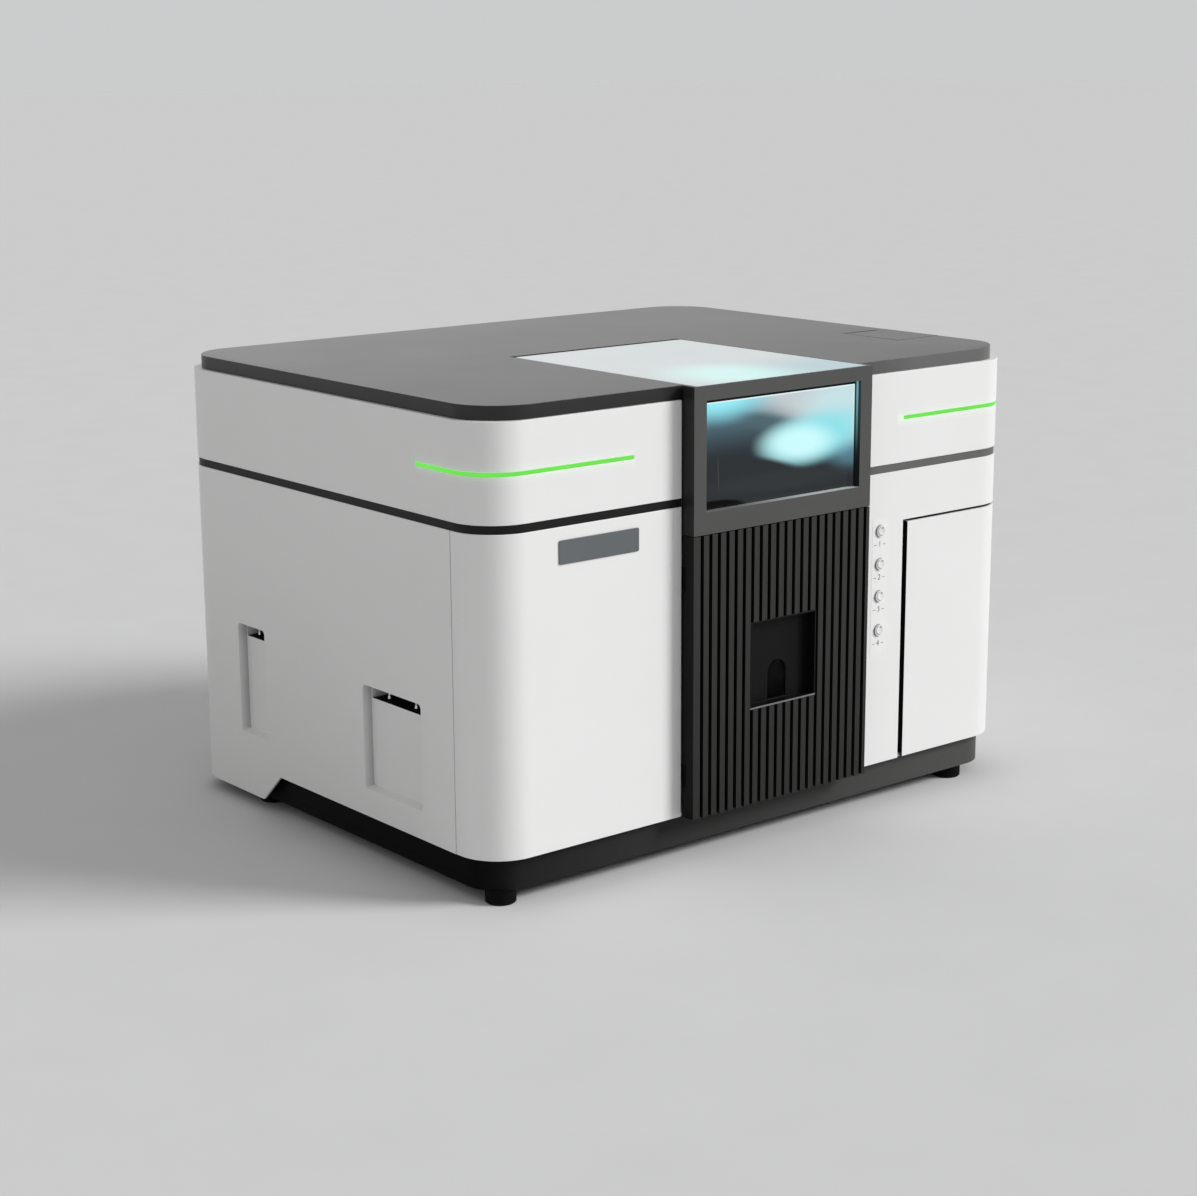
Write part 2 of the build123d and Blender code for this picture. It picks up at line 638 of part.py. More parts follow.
with BuildPart() as top_plate:
    with BuildSketch(Plane.XY.offset(plate_z)):
        with Locations((0, mid_y)):
            RectangleRounded(2 * plate_x, body_depth - 2 * plate_end_inset, plate_corner)
    extrude(amount=plate_thickness)
    fillet(top_plate.faces().sort_by(Axis.Z)[-1].edges(), radius=plate_edge)
    with BuildSketch(Plane.XY.offset(plate_z)):
        with Locations((0, mid_y)):
            RectangleRounded(2 * (plate_x - plate_wall), body_depth - 2 * (plate_end_inset + plate_wall),
                             plate_corner - plate_wall)
        with Locations((0, column_y)):
            Rectangle(2 * (notch_x + notch_wall), 2 * (notch_back_y + notch_wall - column_y),
                      mode=Mode.SUBTRACT)
        with Locations((plate_x, (hatch_front_y + hatch_back_y) / 2)):
            Rectangle(2 * (plate_x - hatch_open_x + hatch_wall), hatch_back_y - hatch_front_y + 2 * hatch_wall,
                      mode=Mode.SUBTRACT)
    extrude(amount=plate_thickness - plate_skin, mode=Mode.SUBTRACT)
    block(-notch_x, notch_x, column_y, notch_back_y, plate_z - overrun, top_z + overrun, Mode.SUBTRACT)
    block(hatch_open_x, plate_x + overrun, hatch_front_y - hatch_gap, hatch_lug_y,
          plate_z - overrun, top_z + overrun, Mode.SUBTRACT)
    block(hatch_open_x, hatch_lug_x, hatch_lug_y - overrun, hatch_back_y,
          plate_z - overrun, top_z + overrun, Mode.SUBTRACT)
    for side in (-1, 1):
        bar((side * (notch_x - overrun), hood_axis_y, hood_axis_z), (side, 0, 0),
            pin_depth + overrun, pin_bore_radius, Mode.SUBTRACT)
    bar((hatch_open_x + overrun, hatch_axis_y, hatch_axis_z), (-1, 0, 0),
        pin_depth + overrun, pin_bore_radius, Mode.SUBTRACT)
    bar((hatch_lug_x - overrun, hatch_axis_y, hatch_axis_z), (1, 0, 0),
        pin_depth + overrun, pin_bore_radius, Mode.SUBTRACT)
top_plate.part.label = "top_plate"
export_step(top_plate.part, "parts/top_plate.step")

# The hatch is a small lid over the lamps, hinged on its rounded rear edge.
hatch_web = 2
hatch_clearance = 0.6
hatch_lug_clearance = 1.2
with BuildPart() as top_hatch:
    with BuildSketch(Plane.XY.offset(plate_z + fit_clearance)):
        with BuildLine():
            Polyline((hatch_x, hatch_front_y), (plate_x, hatch_front_y),
                     (plate_x, hatch_lug_y - hatch_lug_clearance),
                     (hatch_lug_x - hatch_clearance, hatch_lug_y - hatch_lug_clearance),
                     (hatch_lug_x - hatch_clearance, hatch_axis_y - hatch_web),
                     (hatch_x - hatch_taper, hatch_axis_y - hatch_web), close=True)
        make_face()
    extrude(amount=plate_thickness - fit_clearance)
    bar((hatch_x - hatch_taper, hatch_axis_y, hatch_axis_z), (1, 0, 0),
        hatch_lug_x - hatch_clearance - hatch_x + hatch_taper, hatch_barrel)
    bar((hatch_x - hatch_taper - overrun, hatch_axis_y, hatch_axis_z), (1, 0, 0),
        pin_depth + overrun, pin_bore_radius, Mode.SUBTRACT)
    bar((hatch_lug_x - hatch_clearance + overrun, hatch_axis_y, hatch_axis_z), (-1, 0, 0),
        pin_depth + overrun, pin_bore_radius, Mode.SUBTRACT)
top_hatch.part.label = "top_hatch"
export_step(top_hatch.part, "parts/top_hatch.step")

# The ribbed door is the lower part of the column: a deep pan with upright grooves in its face,
# hinged at its rear left edge, with a hole for the sample recess.
door_face = 8
door_flange = 3
groove_count = 21
groove_pitch = 11.83
groove_width = 4.6
groove_depth = 4.5
groove_shift = 2.3
recess_x = 1
recess_rise = 105.3
recess_width = 96
recess_height = 95.7
recess_clearance = 0.1
door_axis_inset = 3.5
ribbed_barrel_radius = 3
door_z = panel_z + door_rise
door_top = hood_z - panel_gap
door_axis_x = -column_x + door_axis_inset
door_axis_y = front_y - ribbed_barrel_radius
recess_z = door_z + recess_rise
door_knuckle_zs = (door_z + knuckle_margin, door_top - knuckle_margin)
with BuildPart() as ribbed_door:
    block(-column_x, column_x, column_y, front_y, door_z, door_top)
    block(-column_x + door_flange, column_x - door_flange, column_y + door_face, front_y + overrun,
          door_z + door_flange, door_top - door_flange, Mode.SUBTRACT)
    bar((door_axis_x, door_axis_y, door_z), (0, 0, 1), door_top - door_z, ribbed_barrel_radius)
    for i in range(groove_count):
        x = groove_shift + (i - (groove_count - 1) / 2) * groove_pitch
        block(x - groove_width / 2, x + groove_width / 2, column_y - overrun, column_y + groove_depth,
              door_z - overrun, door_top + overrun, Mode.SUBTRACT)
    block(recess_x - recess_width / 2, recess_x + recess_width / 2, column_y - overrun, front_y + overrun,
          recess_z, recess_z + recess_height, Mode.SUBTRACT)
    for z in door_knuckle_zs:
        half = knuckle_height / 2 + knuckle_clearance
        block(-column_x - overrun, door_axis_x + ribbed_barrel_radius + knuckle_clearance,
              door_axis_y - ribbed_barrel_radius - knuckle_clearance, front_y + overrun,
              z - half, z + half, Mode.SUBTRACT)
    bar((door_axis_x, door_axis_y, door_z - overrun), (0, 0, 1),
        door_top - door_z + 2 * overrun, pin_bore_radius, Mode.SUBTRACT)
ribbed_door.part.label = "ribbed_door"
export_step(ribbed_door.part, "parts/ribbed_door.step")

# The sample recess is a small open tray let into the ribbed door, with an arched opening in its back.
recess_wall = 2
recess_depth = 12
arch_x = 2.5
arch_rise = 3.2
arch_width = 26.6
arch_height = 42
with BuildPart() as sample_recess:
    block(recess_x - recess_width / 2 + recess_clearance, recess_x + recess_width / 2 - recess_clearance,
          column_y, column_y + recess_depth + recess_wall,
          recess_z + recess_clearance, recess_z + recess_height - recess_clearance)
    block(recess_x - recess_width / 2 + recess_wall, recess_x + recess_width / 2 - recess_wall,
          column_y - overrun, column_y + recess_depth,
          recess_z + recess_wall, recess_z + recess_height - recess_wall, Mode.SUBTRACT)
    block(arch_x - arch_width / 2, arch_x + arch_width / 2, column_y, front_y,
          recess_z + arch_rise, recess_z + arch_rise + arch_height - arch_width / 2, Mode.SUBTRACT)
    bar((arch_x, column_y, recess_z + arch_rise + arch_height - arch_width / 2), (0, 1, 0),
        column_proud, arch_width / 2, Mode.SUBTRACT)
sample_recess.part.label = "sample_recess"
export_step(sample_recess.part, "parts/sample_recess.step")

# Two fixed knuckles hold the ribbed door. Their feet are screwed to the front of the left bay post.
with BuildPart() as ribbed_door_knuckles:
    for z in door_knuckle_zs:
        low_z = z - knuckle_height / 2
        bar((door_axis_x, door_axis_y, low_z), (0, 0, 1), knuckle_height, ribbed_barrel_radius - running_clearance)
        block(door_axis_x - ribbed_barrel_radius + running_clearance,
              door_axis_x + ribbed_barrel_radius - running_clearance,
              door_axis_y, panel_back_y, low_z, low_z + knuckle_height)
        bar((door_axis_x, door_axis_y, low_z - overrun), (0, 0, 1),
            knuckle_height + 2 * overrun, pin_bore_radius, Mode.SUBTRACT)
ribbed_door_knuckles.part.label = "ribbed_door_knuckles"
export_step(ribbed_door_knuckles.part, "parts/ribbed_door_knuckles.step")

# Eight hinge pins, all of one rod: two for each door, for the hood and for the hatch.
door_pin_length = 46
with BuildPart() as hinge_pins:
    for x, y, zs in ((door_axis_x, door_axis_y, door_knuckle_zs), (lamp_axis_x, lamp_axis_y, lamp_knuckle_zs)):
        for z in zs:
            bar((x, y, z - door_pin_length / 2), (0, 0, 1), door_pin_length, pin_radius)
    short_pin = 2 * pin_depth - overrun + notch_gap
    for side in (-1, 1):
        bar((side * (glass_half_width - pin_depth + overrun), hood_axis_y, hood_axis_z), (side, 0, 0),
            short_pin, pin_radius)
    bar((hatch_open_x - pin_depth + overrun, hatch_axis_y, hatch_axis_z), (1, 0, 0), short_pin - overrun, pin_radius)
    bar((hatch_lug_x + pin_depth - overrun, hatch_axis_y, hatch_axis_z), (-1, 0, 0), short_pin - overrun, pin_radius)
hinge_pins.part.label = "hinge_pins"
export_step(hinge_pins.part, "parts/hinge_pins.step")

# The lift column stands on the back wall of the burner bay: two ground rods between two blocks.
rod_radius = 5
rod_x = 35
rod_setback = 24
lift_travel = 12
lift_block_x = 50
lift_block_depth = 38
lift_block_height = 12
carriage_x = 48
carriage_front_reach = 64
carriage_back_gap = 10
carriage_height = 60
chamber_drop = 112
rod_y = bay_back_y - rod_setback
lift_block_front_y = bay_back_y - lift_block_depth
carriage_front_y = bay_back_y - carriage_front_reach
carriage_back_y = bay_back_y - carriage_back_gap
chamber_z = beam_z - chamber_drop
carriage_z = chamber_z - carriage_height / 2
carriage_top = carriage_z + carriage_height
lift_low_z = carriage_z - fit_clearance - lift_block_height
lift_high_z = carriage_top + lift_travel + fit_clearance
bay_rear_y = bay_back_y - liner_thickness
with BuildPart() as lift_column:
    for z in (lift_low_z, lift_high_z):
        block(-lift_block_x, lift_block_x, lift_block_front_y, bay_rear_y, z, z + lift_block_height)
    for side in (-1, 1):
        bar((side * rod_x, rod_y, lift_low_z), (0, 0, 1), lift_high_z - lift_low_z, rod_radius)
lift_column.part.label = "lift_column"
export_step(lift_column.part, "parts/lift_column.step")

# The carriage slides on the rods and carries the mixing chamber on its front face.
with BuildPart() as burner_carriage:
    block(-carriage_x, carriage_x, carriage_front_y, carriage_back_y, carriage_z, carriage_top)
    for side in (-1, 1):
        bar((side * rod_x, rod_y, carriage_z - overrun), (0, 0, 1), carriage_height + 2 * overrun,
            rod_radius + running_clearance, Mode.SUBTRACT)
burner_carriage.part.label = "burner_carriage"
export_step(burner_carriage.part, "parts/burner_carriage.step")

# The mixing chamber is a moulded drum on its side, with a neck for the burner and a drain nipple below.
chamber_radius = 32
chamber_wall = 4
chamber_front_reach = 65
neck_radius = 17
neck_height = 48
burner_stem_radius = 12
neck_bore = burner_stem_radius + running_clearance
drain_gap = 26
drain_radius = 6
drain_bore = 3
drain_length = 90
chamber_front_y = beam_y - chamber_front_reach
drain_y = carriage_front_y - drain_gap
neck_top = chamber_z + neck_height
with BuildPart() as mixing_chamber:
    bar((0, chamber_front_y, chamber_z), (0, 1, 0), carriage_front_y - chamber_front_y, chamber_radius)
    bar((0, beam_y, chamber_z), (0, 0, 1), neck_height, neck_radius)
    bar((0, drain_y, chamber_z), (0, 0, -1), drain_length, drain_radius)
    bar((0, chamber_front_y - overrun, chamber_z), (0, 1, 0),
        carriage_front_y - chamber_front_y + overrun - chamber_wall, chamber_radius - chamber_wall, Mode.SUBTRACT)
    bar((0, beam_y, chamber_z), (0, 0, 1), neck_height + overrun, neck_bore, Mode.SUBTRACT)
    bar((0, drain_y, chamber_z), (0, 0, -1), drain_length + overrun, drain_bore, Mode.SUBTRACT)
mixing_chamber.part.label = "mixing_chamber"
export_step(mixing_chamber.part, "parts/mixing_chamber.step")

# The burner head is a long titanium block with a roofed top and one narrow slot. Its stem turns in the neck.
burner_drop = 14
head_length = 110
head_width = 28
head_height = 26
roof_height = 10
roof_width = 12
slot_length = 100
flame_slot = 1.2
slot_depth = 12
stem_depth = 22
stem_collar_radius = 16
stem_collar = 6
stem_bore = 8
burner_top = beam_z - burner_drop
head_z = burner_top - head_height
with BuildPart() as burner_head:
    with BuildSketch(Plane.YZ):
        with BuildLine():
            Polyline((beam_y - head_width / 2, head_z), (beam_y + head_width / 2, head_z),
                     (beam_y + head_width / 2, burner_top - roof_height),
                     (beam_y + roof_width / 2, burner_top), (beam_y - roof_width / 2, burner_top),
                     (beam_y - head_width / 2, burner_top - roof_height), close=True)
        make_face()
    extrude(amount=head_length / 2, both=True)
    bar((0, beam_y, neck_top - stem_depth), (0, 0, 1), head_z - neck_top + stem_depth, burner_stem_radius)
    bar((0, beam_y, neck_top + fit_clearance), (0, 0, 1), stem_collar, stem_collar_radius)
    block(-slot_length / 2, slot_length / 2, beam_y - flame_slot / 2, beam_y + flame_slot / 2,
          burner_top - slot_depth, burner_top + overrun, Mode.SUBTRACT)
    bar((0, beam_y, neck_top - stem_depth - overrun), (0, 0, 1),
        burner_top - slot_depth - neck_top + stem_depth + overrun, stem_bore, Mode.SUBTRACT)
burner_head.part.label = "burner_head"
export_step(burner_head.part, "parts/burner_head.step")

# The nebulizer is screwed into the end plate of the mixing chamber, with a gas inlet on its side.
end_plate_radius = 36
end_plate = 6
nebulizer_radius = 11
nebulizer_length = 34
nut_radius = 14
nut_length = 8
capillary_radius = 1.6
capillary_length = 10
gas_inlet_radius = 4
gas_inlet_length = 28
end_plate_y = chamber_front_y - end_plate
nut_y = end_plate_y - nebulizer_length
with BuildPart() as nebulizer:
    bar((0, chamber_front_y, chamber_z), (0, -1, 0), end_plate, end_plate_radius)
    bar((0, end_plate_y, chamber_z), (0, -1, 0), nebulizer_length, nebulizer_radius)
    with BuildSketch(Plane(origin=(0, nut_y, chamber_z), x_dir=(1, 0, 0), z_dir=(0, -1, 0))):
        RegularPolygon(nut_radius, 6)
    extrude(amount=nut_length)
    bar((0, nut_y - nut_length, chamber_z), (0, -1, 0), capillary_length, capillary_radius)
    bar((0, end_plate_y - nebulizer_length / 2, chamber_z), (1, 0, 0), gas_inlet_length, gas_inlet_radius)
nebulizer.part.label = "nebulizer"
export_step(nebulizer.part, "parts/nebulizer.step")

# The drain trap is an open-necked bottle on the bay floor, right under the drain nipple.
trap_radius = 24
trap_dip = 12.6
trap_neck_radius = 15
trap_neck = 40
trap_wall = 3
trap_z = deck_z + liner_thickness
trap_height = chamber_z - drain_length + trap_dip - trap_neck - trap_z
with BuildPart() as drain_trap:
    bar((0, drain_y, trap_z), (0, 0, 1), trap_height, trap_radius)
    bar((0, drain_y, trap_z + trap_height), (0, 0, 1), trap_neck, trap_neck_radius)
    bar((0, drain_y, trap_z + trap_wall), (0, 0, 1), trap_height + trap_neck + overrun,
        trap_neck_radius - trap_wall, Mode.SUBTRACT)
drain_trap.part.label = "drain_trap"
export_step(drain_trap.part, "parts/drain_trap.step")

# The lamp turret holds eight hollow cathode lamps between two discs and turns the chosen one into the beam.
lamp_count = 8
lamp_pitch_radius = 62
lamp_radius = 18.5
lamp_nose_radius = 13
lamp_nose = 36
lamp_base_radius = 16
lamp_base = 24
lamp_end_gap = 80
turret_radius = 86
front_disc_gap = 54
front_disc = 6
rear_disc_gap = 12
rear_disc = 10
hub_radius = 12
shaft_radius = 8
shaft_end_gap = 20
turret_z = beam_z - lamp_pitch_radius
lamp_start_x = lamp_bay_x
lamp_end_x = side_x - lamp_end_gap
lamp_length = lamp_end_x - lamp_start_x
front_disc_x = lamp_start_x + front_disc_gap
rear_disc_x = lamp_end_x - rear_disc_gap
shaft_end_x = side_x - shaft_end_gap
with BuildPart() as lamp_turret:
    with BuildSketch(Plane.YZ.offset(front_disc_x)):
        with Locations((beam_y, turret_z)):
            Circle(turret_radius)
            with PolarLocations(lamp_pitch_radius, lamp_count, start_angle=90):
                Circle(lamp_radius + running_clearance, mode=Mode.SUBTRACT)
    extrude(amount=front_disc)
    with BuildSketch(Plane.YZ.offset(rear_disc_x)):
        with Locations((beam_y, turret_z)):
            Circle(turret_radius)
            with PolarLocations(lamp_pitch_radius, lamp_count, start_angle=90):
                Circle(lamp_radius + running_clearance, mode=Mode.SUBTRACT)
    extrude(amount=rear_disc)
    bar((front_disc_x, beam_y, turret_z), (1, 0, 0), rear_disc_x - front_disc_x, hub_radius)
    bar((rear_disc_x, beam_y, turret_z), (1, 0, 0), shaft_end_x - rear_disc_x, shaft_radius)
lamp_turret.part.label = "lamp_turret"
export_step(lamp_turret.part, "parts/lamp_turret.step")

with BuildPart() as cathode_lamps:
    for x, radius, length in ((lamp_start_x, lamp_nose_radius, lamp_nose),
                              (lamp_start_x + lamp_nose, lamp_radius, lamp_length - lamp_nose)):
        with BuildSketch(Plane.YZ.offset(x)):
            with Locations((beam_y, turret_z)):
                with PolarLocations(lamp_pitch_radius, lamp_count, start_angle=90):
                    Circle(radius)
        extrude(amount=length)
cathode_lamps.part.label = "cathode_lamps"
export_step(cathode_lamps.part, "parts/cathode_lamps.step")

with BuildPart() as lamp_bases:
    with BuildSketch(Plane.YZ.offset(lamp_end_x)):
        with Locations((beam_y, turret_z)):
            with PolarLocations(lamp_pitch_radius, lamp_count, start_angle=90):
                Circle(lamp_base_radius)
    extrude(amount=lamp_base)
lamp_bases.part.label = "lamp_bases"
export_step(lamp_bases.part, "parts/lamp_bases.step")

# The turret stand is a bearing block on the optical bench, and the motor sits on its outer face.
stand_base_gap = 10
stand_thickness = 16
stand_half_width = 38
stand_cap = 22
stand_foot = 8
motor_size = 42
motor_end_gap = 8
stand_x = lamp_end_x + lamp_base + stand_base_gap
motor_end_x = side_x - motor_end_gap
with BuildPart() as turret_stand:
    block(stand_x, stand_x + stand_thickness, beam_y - stand_half_width, beam_y + stand_half_width,
          bench_top, turret_z + stand_cap)
    block(stand_x, motor_end_x, beam_y - stand_half_width, beam_y + stand_half_width,
          bench_top, bench_top + stand_foot)
    bar((stand_x - overrun, beam_y, turret_z), (1, 0, 0), stand_thickness + 2 * overrun,
        shaft_radius + running_clearance, Mode.SUBTRACT)
turret_stand.part.label = "turret_stand"
export_step(turret_stand.part, "parts/turret_stand.step")

with BuildPart() as turret_motor:
    block(stand_x + stand_thickness, motor_end_x, beam_y - motor_size / 2, beam_y + motor_size / 2,
          turret_z - motor_size / 2, turret_z + motor_size / 2)
    bar((stand_x, beam_y, turret_z), (1, 0, 0), shaft_end_x - stand_x + fit_clearance,
        shaft_radius + running_clearance, Mode.SUBTRACT)
turret_motor.part.label = "turret_motor"
export_step(turret_motor.part, "parts/turret_motor.step")

# The monochromator is a light-tight cast box on the left of the bench, with its lid screwed on.
mono_side_gap = 38
mono_bay_gap = 24.5
mono_front_gap = 32
mono_back_shift = 41
mono_headroom = 22.4
mono_wall = 6
mono_lid = 5
entrance_radius = 6
pedestal_radius = 22
grating_inset = 57
grating_gap = 108
table_radius = 28
table_thickness = 5
table_rise = 120
table_shaft_radius = 5
table_shaft = 34
wheel_drop = 18
wheel_boss_radius = 8
wheel_boss = 4
wheel_shaft_radius = 3
mono_left_x = mono_side_gap - side_x
mono_right_x = -column_x - mono_bay_gap
mono_front_y = front_y + mono_front_gap
mono_back_y = mid_y + mono_back_shift
mono_width = mono_right_x - mono_left_x
mono_floor_z = bench_top + mono_wall
mono_top = plate_z - mono_headroom
grating_x = mono_left_x + grating_inset
grating_y = mono_back_y - grating_gap
table_z = bench_top + table_rise
wheel_z = beam_z - wheel_drop
mono_inner_x = mono_right_x - mono_wall
with BuildPart() as monochromator_housing:
    block(mono_left_x, mono_right_x, mono_front_y, mono_back_y, bench_top, mono_top)
    block(mono_left_x + mono_wall, mono_inner_x, mono_front_y + mono_wall, mono_back_y - mono_wall,
          mono_floor_z, mono_top + overrun, Mode.SUBTRACT)
    bar((grating_x, grating_y, mono_floor_z), (0, 0, 1), table_z - mono_floor_z - fit_clearance, pedestal_radius)
    bar((grating_x, grating_y, table_z - table_shaft - fit_clearance), (0, 0, 1), table_shaft + overrun,
        table_shaft_radius + running_clearance, Mode.SUBTRACT)
    bar((mono_inner_x, beam_y, wheel_z), (-1, 0, 0), wheel_boss, wheel_boss_radius)
    bar((mono_inner_x - wheel_boss - overrun, beam_y, wheel_z), (1, 0, 0), wheel_boss + mono_wall + overrun - panel_gap,
        wheel_shaft_radius + running_clearance, Mode.SUBTRACT)
    bar((mono_inner_x - overrun, beam_y, beam_z), (1, 0, 0), mono_wall + 2 * overrun, entrance_radius, Mode.SUBTRACT)
monochromator_housing.part.label = "monochromator_housing"
export_step(monochromator_housing.part, "parts/monochromator_housing.step")

with BuildPart() as monochromator_lid:
    block(mono_left_x, mono_right_x, mono_front_y, mono_back_y, mono_top, mono_top + mono_lid)
monochromator_lid.part.label = "monochromator_lid"
export_step(monochromator_lid.part, "parts/monochromator_lid.step")

# Two round mirrors, one collimating and one focusing, on blocks against the back wall of the box.
mirror_place_shares = (0.22, 0.705)
mirror_radius_share = 0.18
mirror_block_share = 0.21
mirror_thickness = 8
mirror_block = 10
mirror_xs = [mono_left_x + share * mono_width for share in mirror_place_shares]
mirror_radius = mirror_radius_share * mono_width
mirror_block_size = mirror_block_share * mono_width
mirror_wall_y = mono_back_y - mono_wall
with BuildPart() as monochromator_mirrors:
    for x in mirror_xs:
        block(x - mirror_block_size / 2, x + mirror_block_size / 2, mirror_wall_y - mirror_block, mirror_wall_y,
              beam_z - mirror_block_size / 2, beam_z + mirror_block_size / 2)
        bar((x, mirror_wall_y - mirror_block, beam_z), (0, -1, 0), mirror_thickness, mirror_radius)
monochromator_mirrors.part.label = "monochromator_mirrors"
export_step(monochromator_mirrors.part, "parts/monochromator_mirrors.step")

# The grating stands on a turntable whose shaft runs in the pedestal.
grating_width = 52
grating_height = 50
grating_thickness = 10
with BuildPart() as grating_table:
    bar((grating_x, grating_y, table_z), (0, 0, 1), table_thickness, table_radius)
    bar((grating_x, grating_y, table_z), (0, 0, -1), table_shaft, table_shaft_radius)
    block(grating_x - grating_width / 2, grating_x + grating_width / 2,
          grating_y - grating_thickness / 2, grating_y + grating_thickness / 2,
          table_z + table_thickness, table_z + table_thickness + grating_height)
grating_table.part.label = "grating_table"
export_step(grating_table.part, "parts/grating_table.step")

# The slit wheel brings one of four slits of different width in front of the entrance.
wheel_radius = 26
wheel_thickness = 3
slit_length = 9
slit_count = 4
narrow_slit = 1
slit_growth = 0.8
wheel_x = mono_inner_x - wheel_boss - fit_clearance
with BuildPart() as slit_wheel:
    with BuildSketch(Plane.YZ.offset(wheel_x - wheel_thickness)):
        with Locations((beam_y, wheel_z)):
            Circle(wheel_radius)
        for i in range(slit_count):
            with Locations(Location((beam_y, wheel_z), 360 * i / slit_count) * Location((0, wheel_drop))):
                Rectangle(narrow_slit + i * slit_growth, slit_length, mode=Mode.SUBTRACT)
    extrude(amount=wheel_thickness)
    bar((wheel_x, beam_y, wheel_z), (1, 0, 0), wheel_boss + mono_wall / 2, wheel_shaft_radius)
slit_wheel.part.label = "slit_wheel"
export_step(slit_wheel.part, "parts/slit_wheel.step")

# The detector is a photomultiplier in a square can, with its window towards the focusing mirror.
detector_size = 44
detector_inset = 30
detector_height = 176
detector_window = 9
detector_x = mono_left_x + detector_inset
detector_y = mono_front_y + detector_inset
with BuildPart() as detector_housing:
    block(detector_x - detector_size / 2, detector_x + detector_size / 2,
          detector_y - detector_size / 2, detector_y + detector_size / 2,
          mono_floor_z, mono_floor_z + detector_height)
    bar((detector_x, detector_y + detector_size / 2 + overrun, beam_z), (0, -1, 0),
        detector_window + overrun, detector_window, Mode.SUBTRACT)
detector_housing.part.label = "detector_housing"
export_step(detector_housing.part, "parts/detector_housing.step")

# The power supply is a folded steel case on the deck at the right rear, and the deck closes its open foot.
case_wall = 2
supply_bay_gap = 37.5
supply_side_gap = 50
supply_front_gap = 60
supply_rear_gap = 38
supply_height = 88
supply_left_x = column_x + supply_bay_gap
supply_right_x = side_x - supply_side_gap
supply_front_y = bay_back_y + supply_front_gap
supply_back_y = rear_y - supply_rear_gap
supply_top = deck_z + supply_height
with BuildPart() as power_supply:
    block(supply_left_x, supply_right_x, supply_front_y, supply_back_y, deck_z, supply_top)
    block(supply_left_x + case_wall, supply_right_x - case_wall, supply_front_y + case_wall,
          supply_back_y - case_wall, deck_z - overrun, supply_top - case_wall, Mode.SUBTRACT)
power_supply.part.label = "power_supply"
export_step(power_supply.part, "parts/power_supply.step")

# The main board lies on four pillars behind the burner bay, with its larger parts on top.
pillar_radius = 4
pillar_height = 10
main_board_left_gap = 15.5
main_board_right_gap = 24.5
main_board_front_gap = 62
main_board_rear_gap = 44
pillar_margin = 8
chip_height = 4
chip_size = 34
sink_height = 26
sink_size = 44
chip_x_share, chip_y_share = 0.25, 0.3
far_chip_x_share, far_chip_y_share = 0.75, 0.75
sink_x_share, sink_y_share = 0.7, 0.35
far_sink_x_share, far_sink_y_share = 0.3, 0.72
board_z = deck_z + pillar_height
main_board_x = main_board_left_gap - column_x
main_board_width = column_x - main_board_right_gap - main_board_x
main_board_y = bay_back_y + main_board_front_gap
main_board_depth = rear_y - main_board_rear_gap - main_board_y
with BuildPart() as main_board:
    block(main_board_x, main_board_x + main_board_width, main_board_y, main_board_y + main_board_depth,
          board_z, board_z + board_thickness)
    for x in (main_board_x + pillar_margin, main_board_x + main_board_width - pillar_margin):
        for y in (main_board_y + pillar_margin, main_board_y + main_board_depth - pillar_margin):
            bar((x, y, deck_z), (0, 0, 1), pillar_height, pillar_radius)
    for x_share, y_share, size, height in ((chip_x_share, chip_y_share, chip_size, chip_height),
                                           (far_chip_x_share, far_chip_y_share, chip_size, chip_height),
                                           (sink_x_share, sink_y_share, sink_size, sink_height),
                                           (far_sink_x_share, far_sink_y_share, sink_size, sink_height)):
        x = main_board_x + x_share * main_board_width
        y = main_board_y + y_share * main_board_depth
        block(x - size / 2, x + size / 2, y - size / 2, y + size / 2,
              board_z + board_thickness, board_z + board_thickness + height)
main_board.part.label = "main_board"
export_step(main_board.part, "parts/main_board.step")

# The gas control box holds the valves for fuel and air. It is folded like the power supply's case
# and stands against the rear panel.
gas_depth = 149
gas_front_y = rear_inner_y - gas_depth
with BuildPart() as gas_control_box:
    block(gas_left_x, gas_right_x, gas_front_y, rear_inner_y, deck_z, gas_top)
    block(gas_left_x + case_wall, gas_right_x - case_wall, gas_front_y + case_wall,
          rear_inner_y - case_wall, deck_z - overrun, gas_top - case_wall, Mode.SUBTRACT)
gas_control_box.part.label = "gas_control_box"
export_step(gas_control_box.part, "parts/gas_control_box.step")

# Three brass hose fittings come through the rear panel: a thread, a hexagon and a barbed end.
fitting_hex_radius = 10
fitting_hex = 8
barb_radius = 5
barb_step = 1.2
barb_count = 3
barb_length = rear_reach - fitting_hex
with BuildPart() as gas_fittings:
    for x in fitting_xs:
        bar((x, rear_inner_y, fitting_z), (0, 1, 0), panel_thickness, fitting_radius)
        with BuildSketch(Plane(origin=(x, rear_y, fitting_z), x_dir=(1, 0, 0), z_dir=(0, 1, 0))):
            RegularPolygon(fitting_hex_radius, 6)
        extrude(amount=fitting_hex)
        for i in range(barb_count):
            step = barb_length / barb_count
            with Locations(Plane(origin=(x, rear_y + fitting_hex + i * step, fitting_z), z_dir=(0, 1, 0))):
                Cone(barb_radius, barb_radius - barb_step, step,
                     align=(Align.CENTER, Align.CENTER, Align.MIN))
gas_fittings.part.label = "gas_fittings"
export_step(gas_fittings.part, "parts/gas_fittings.step")

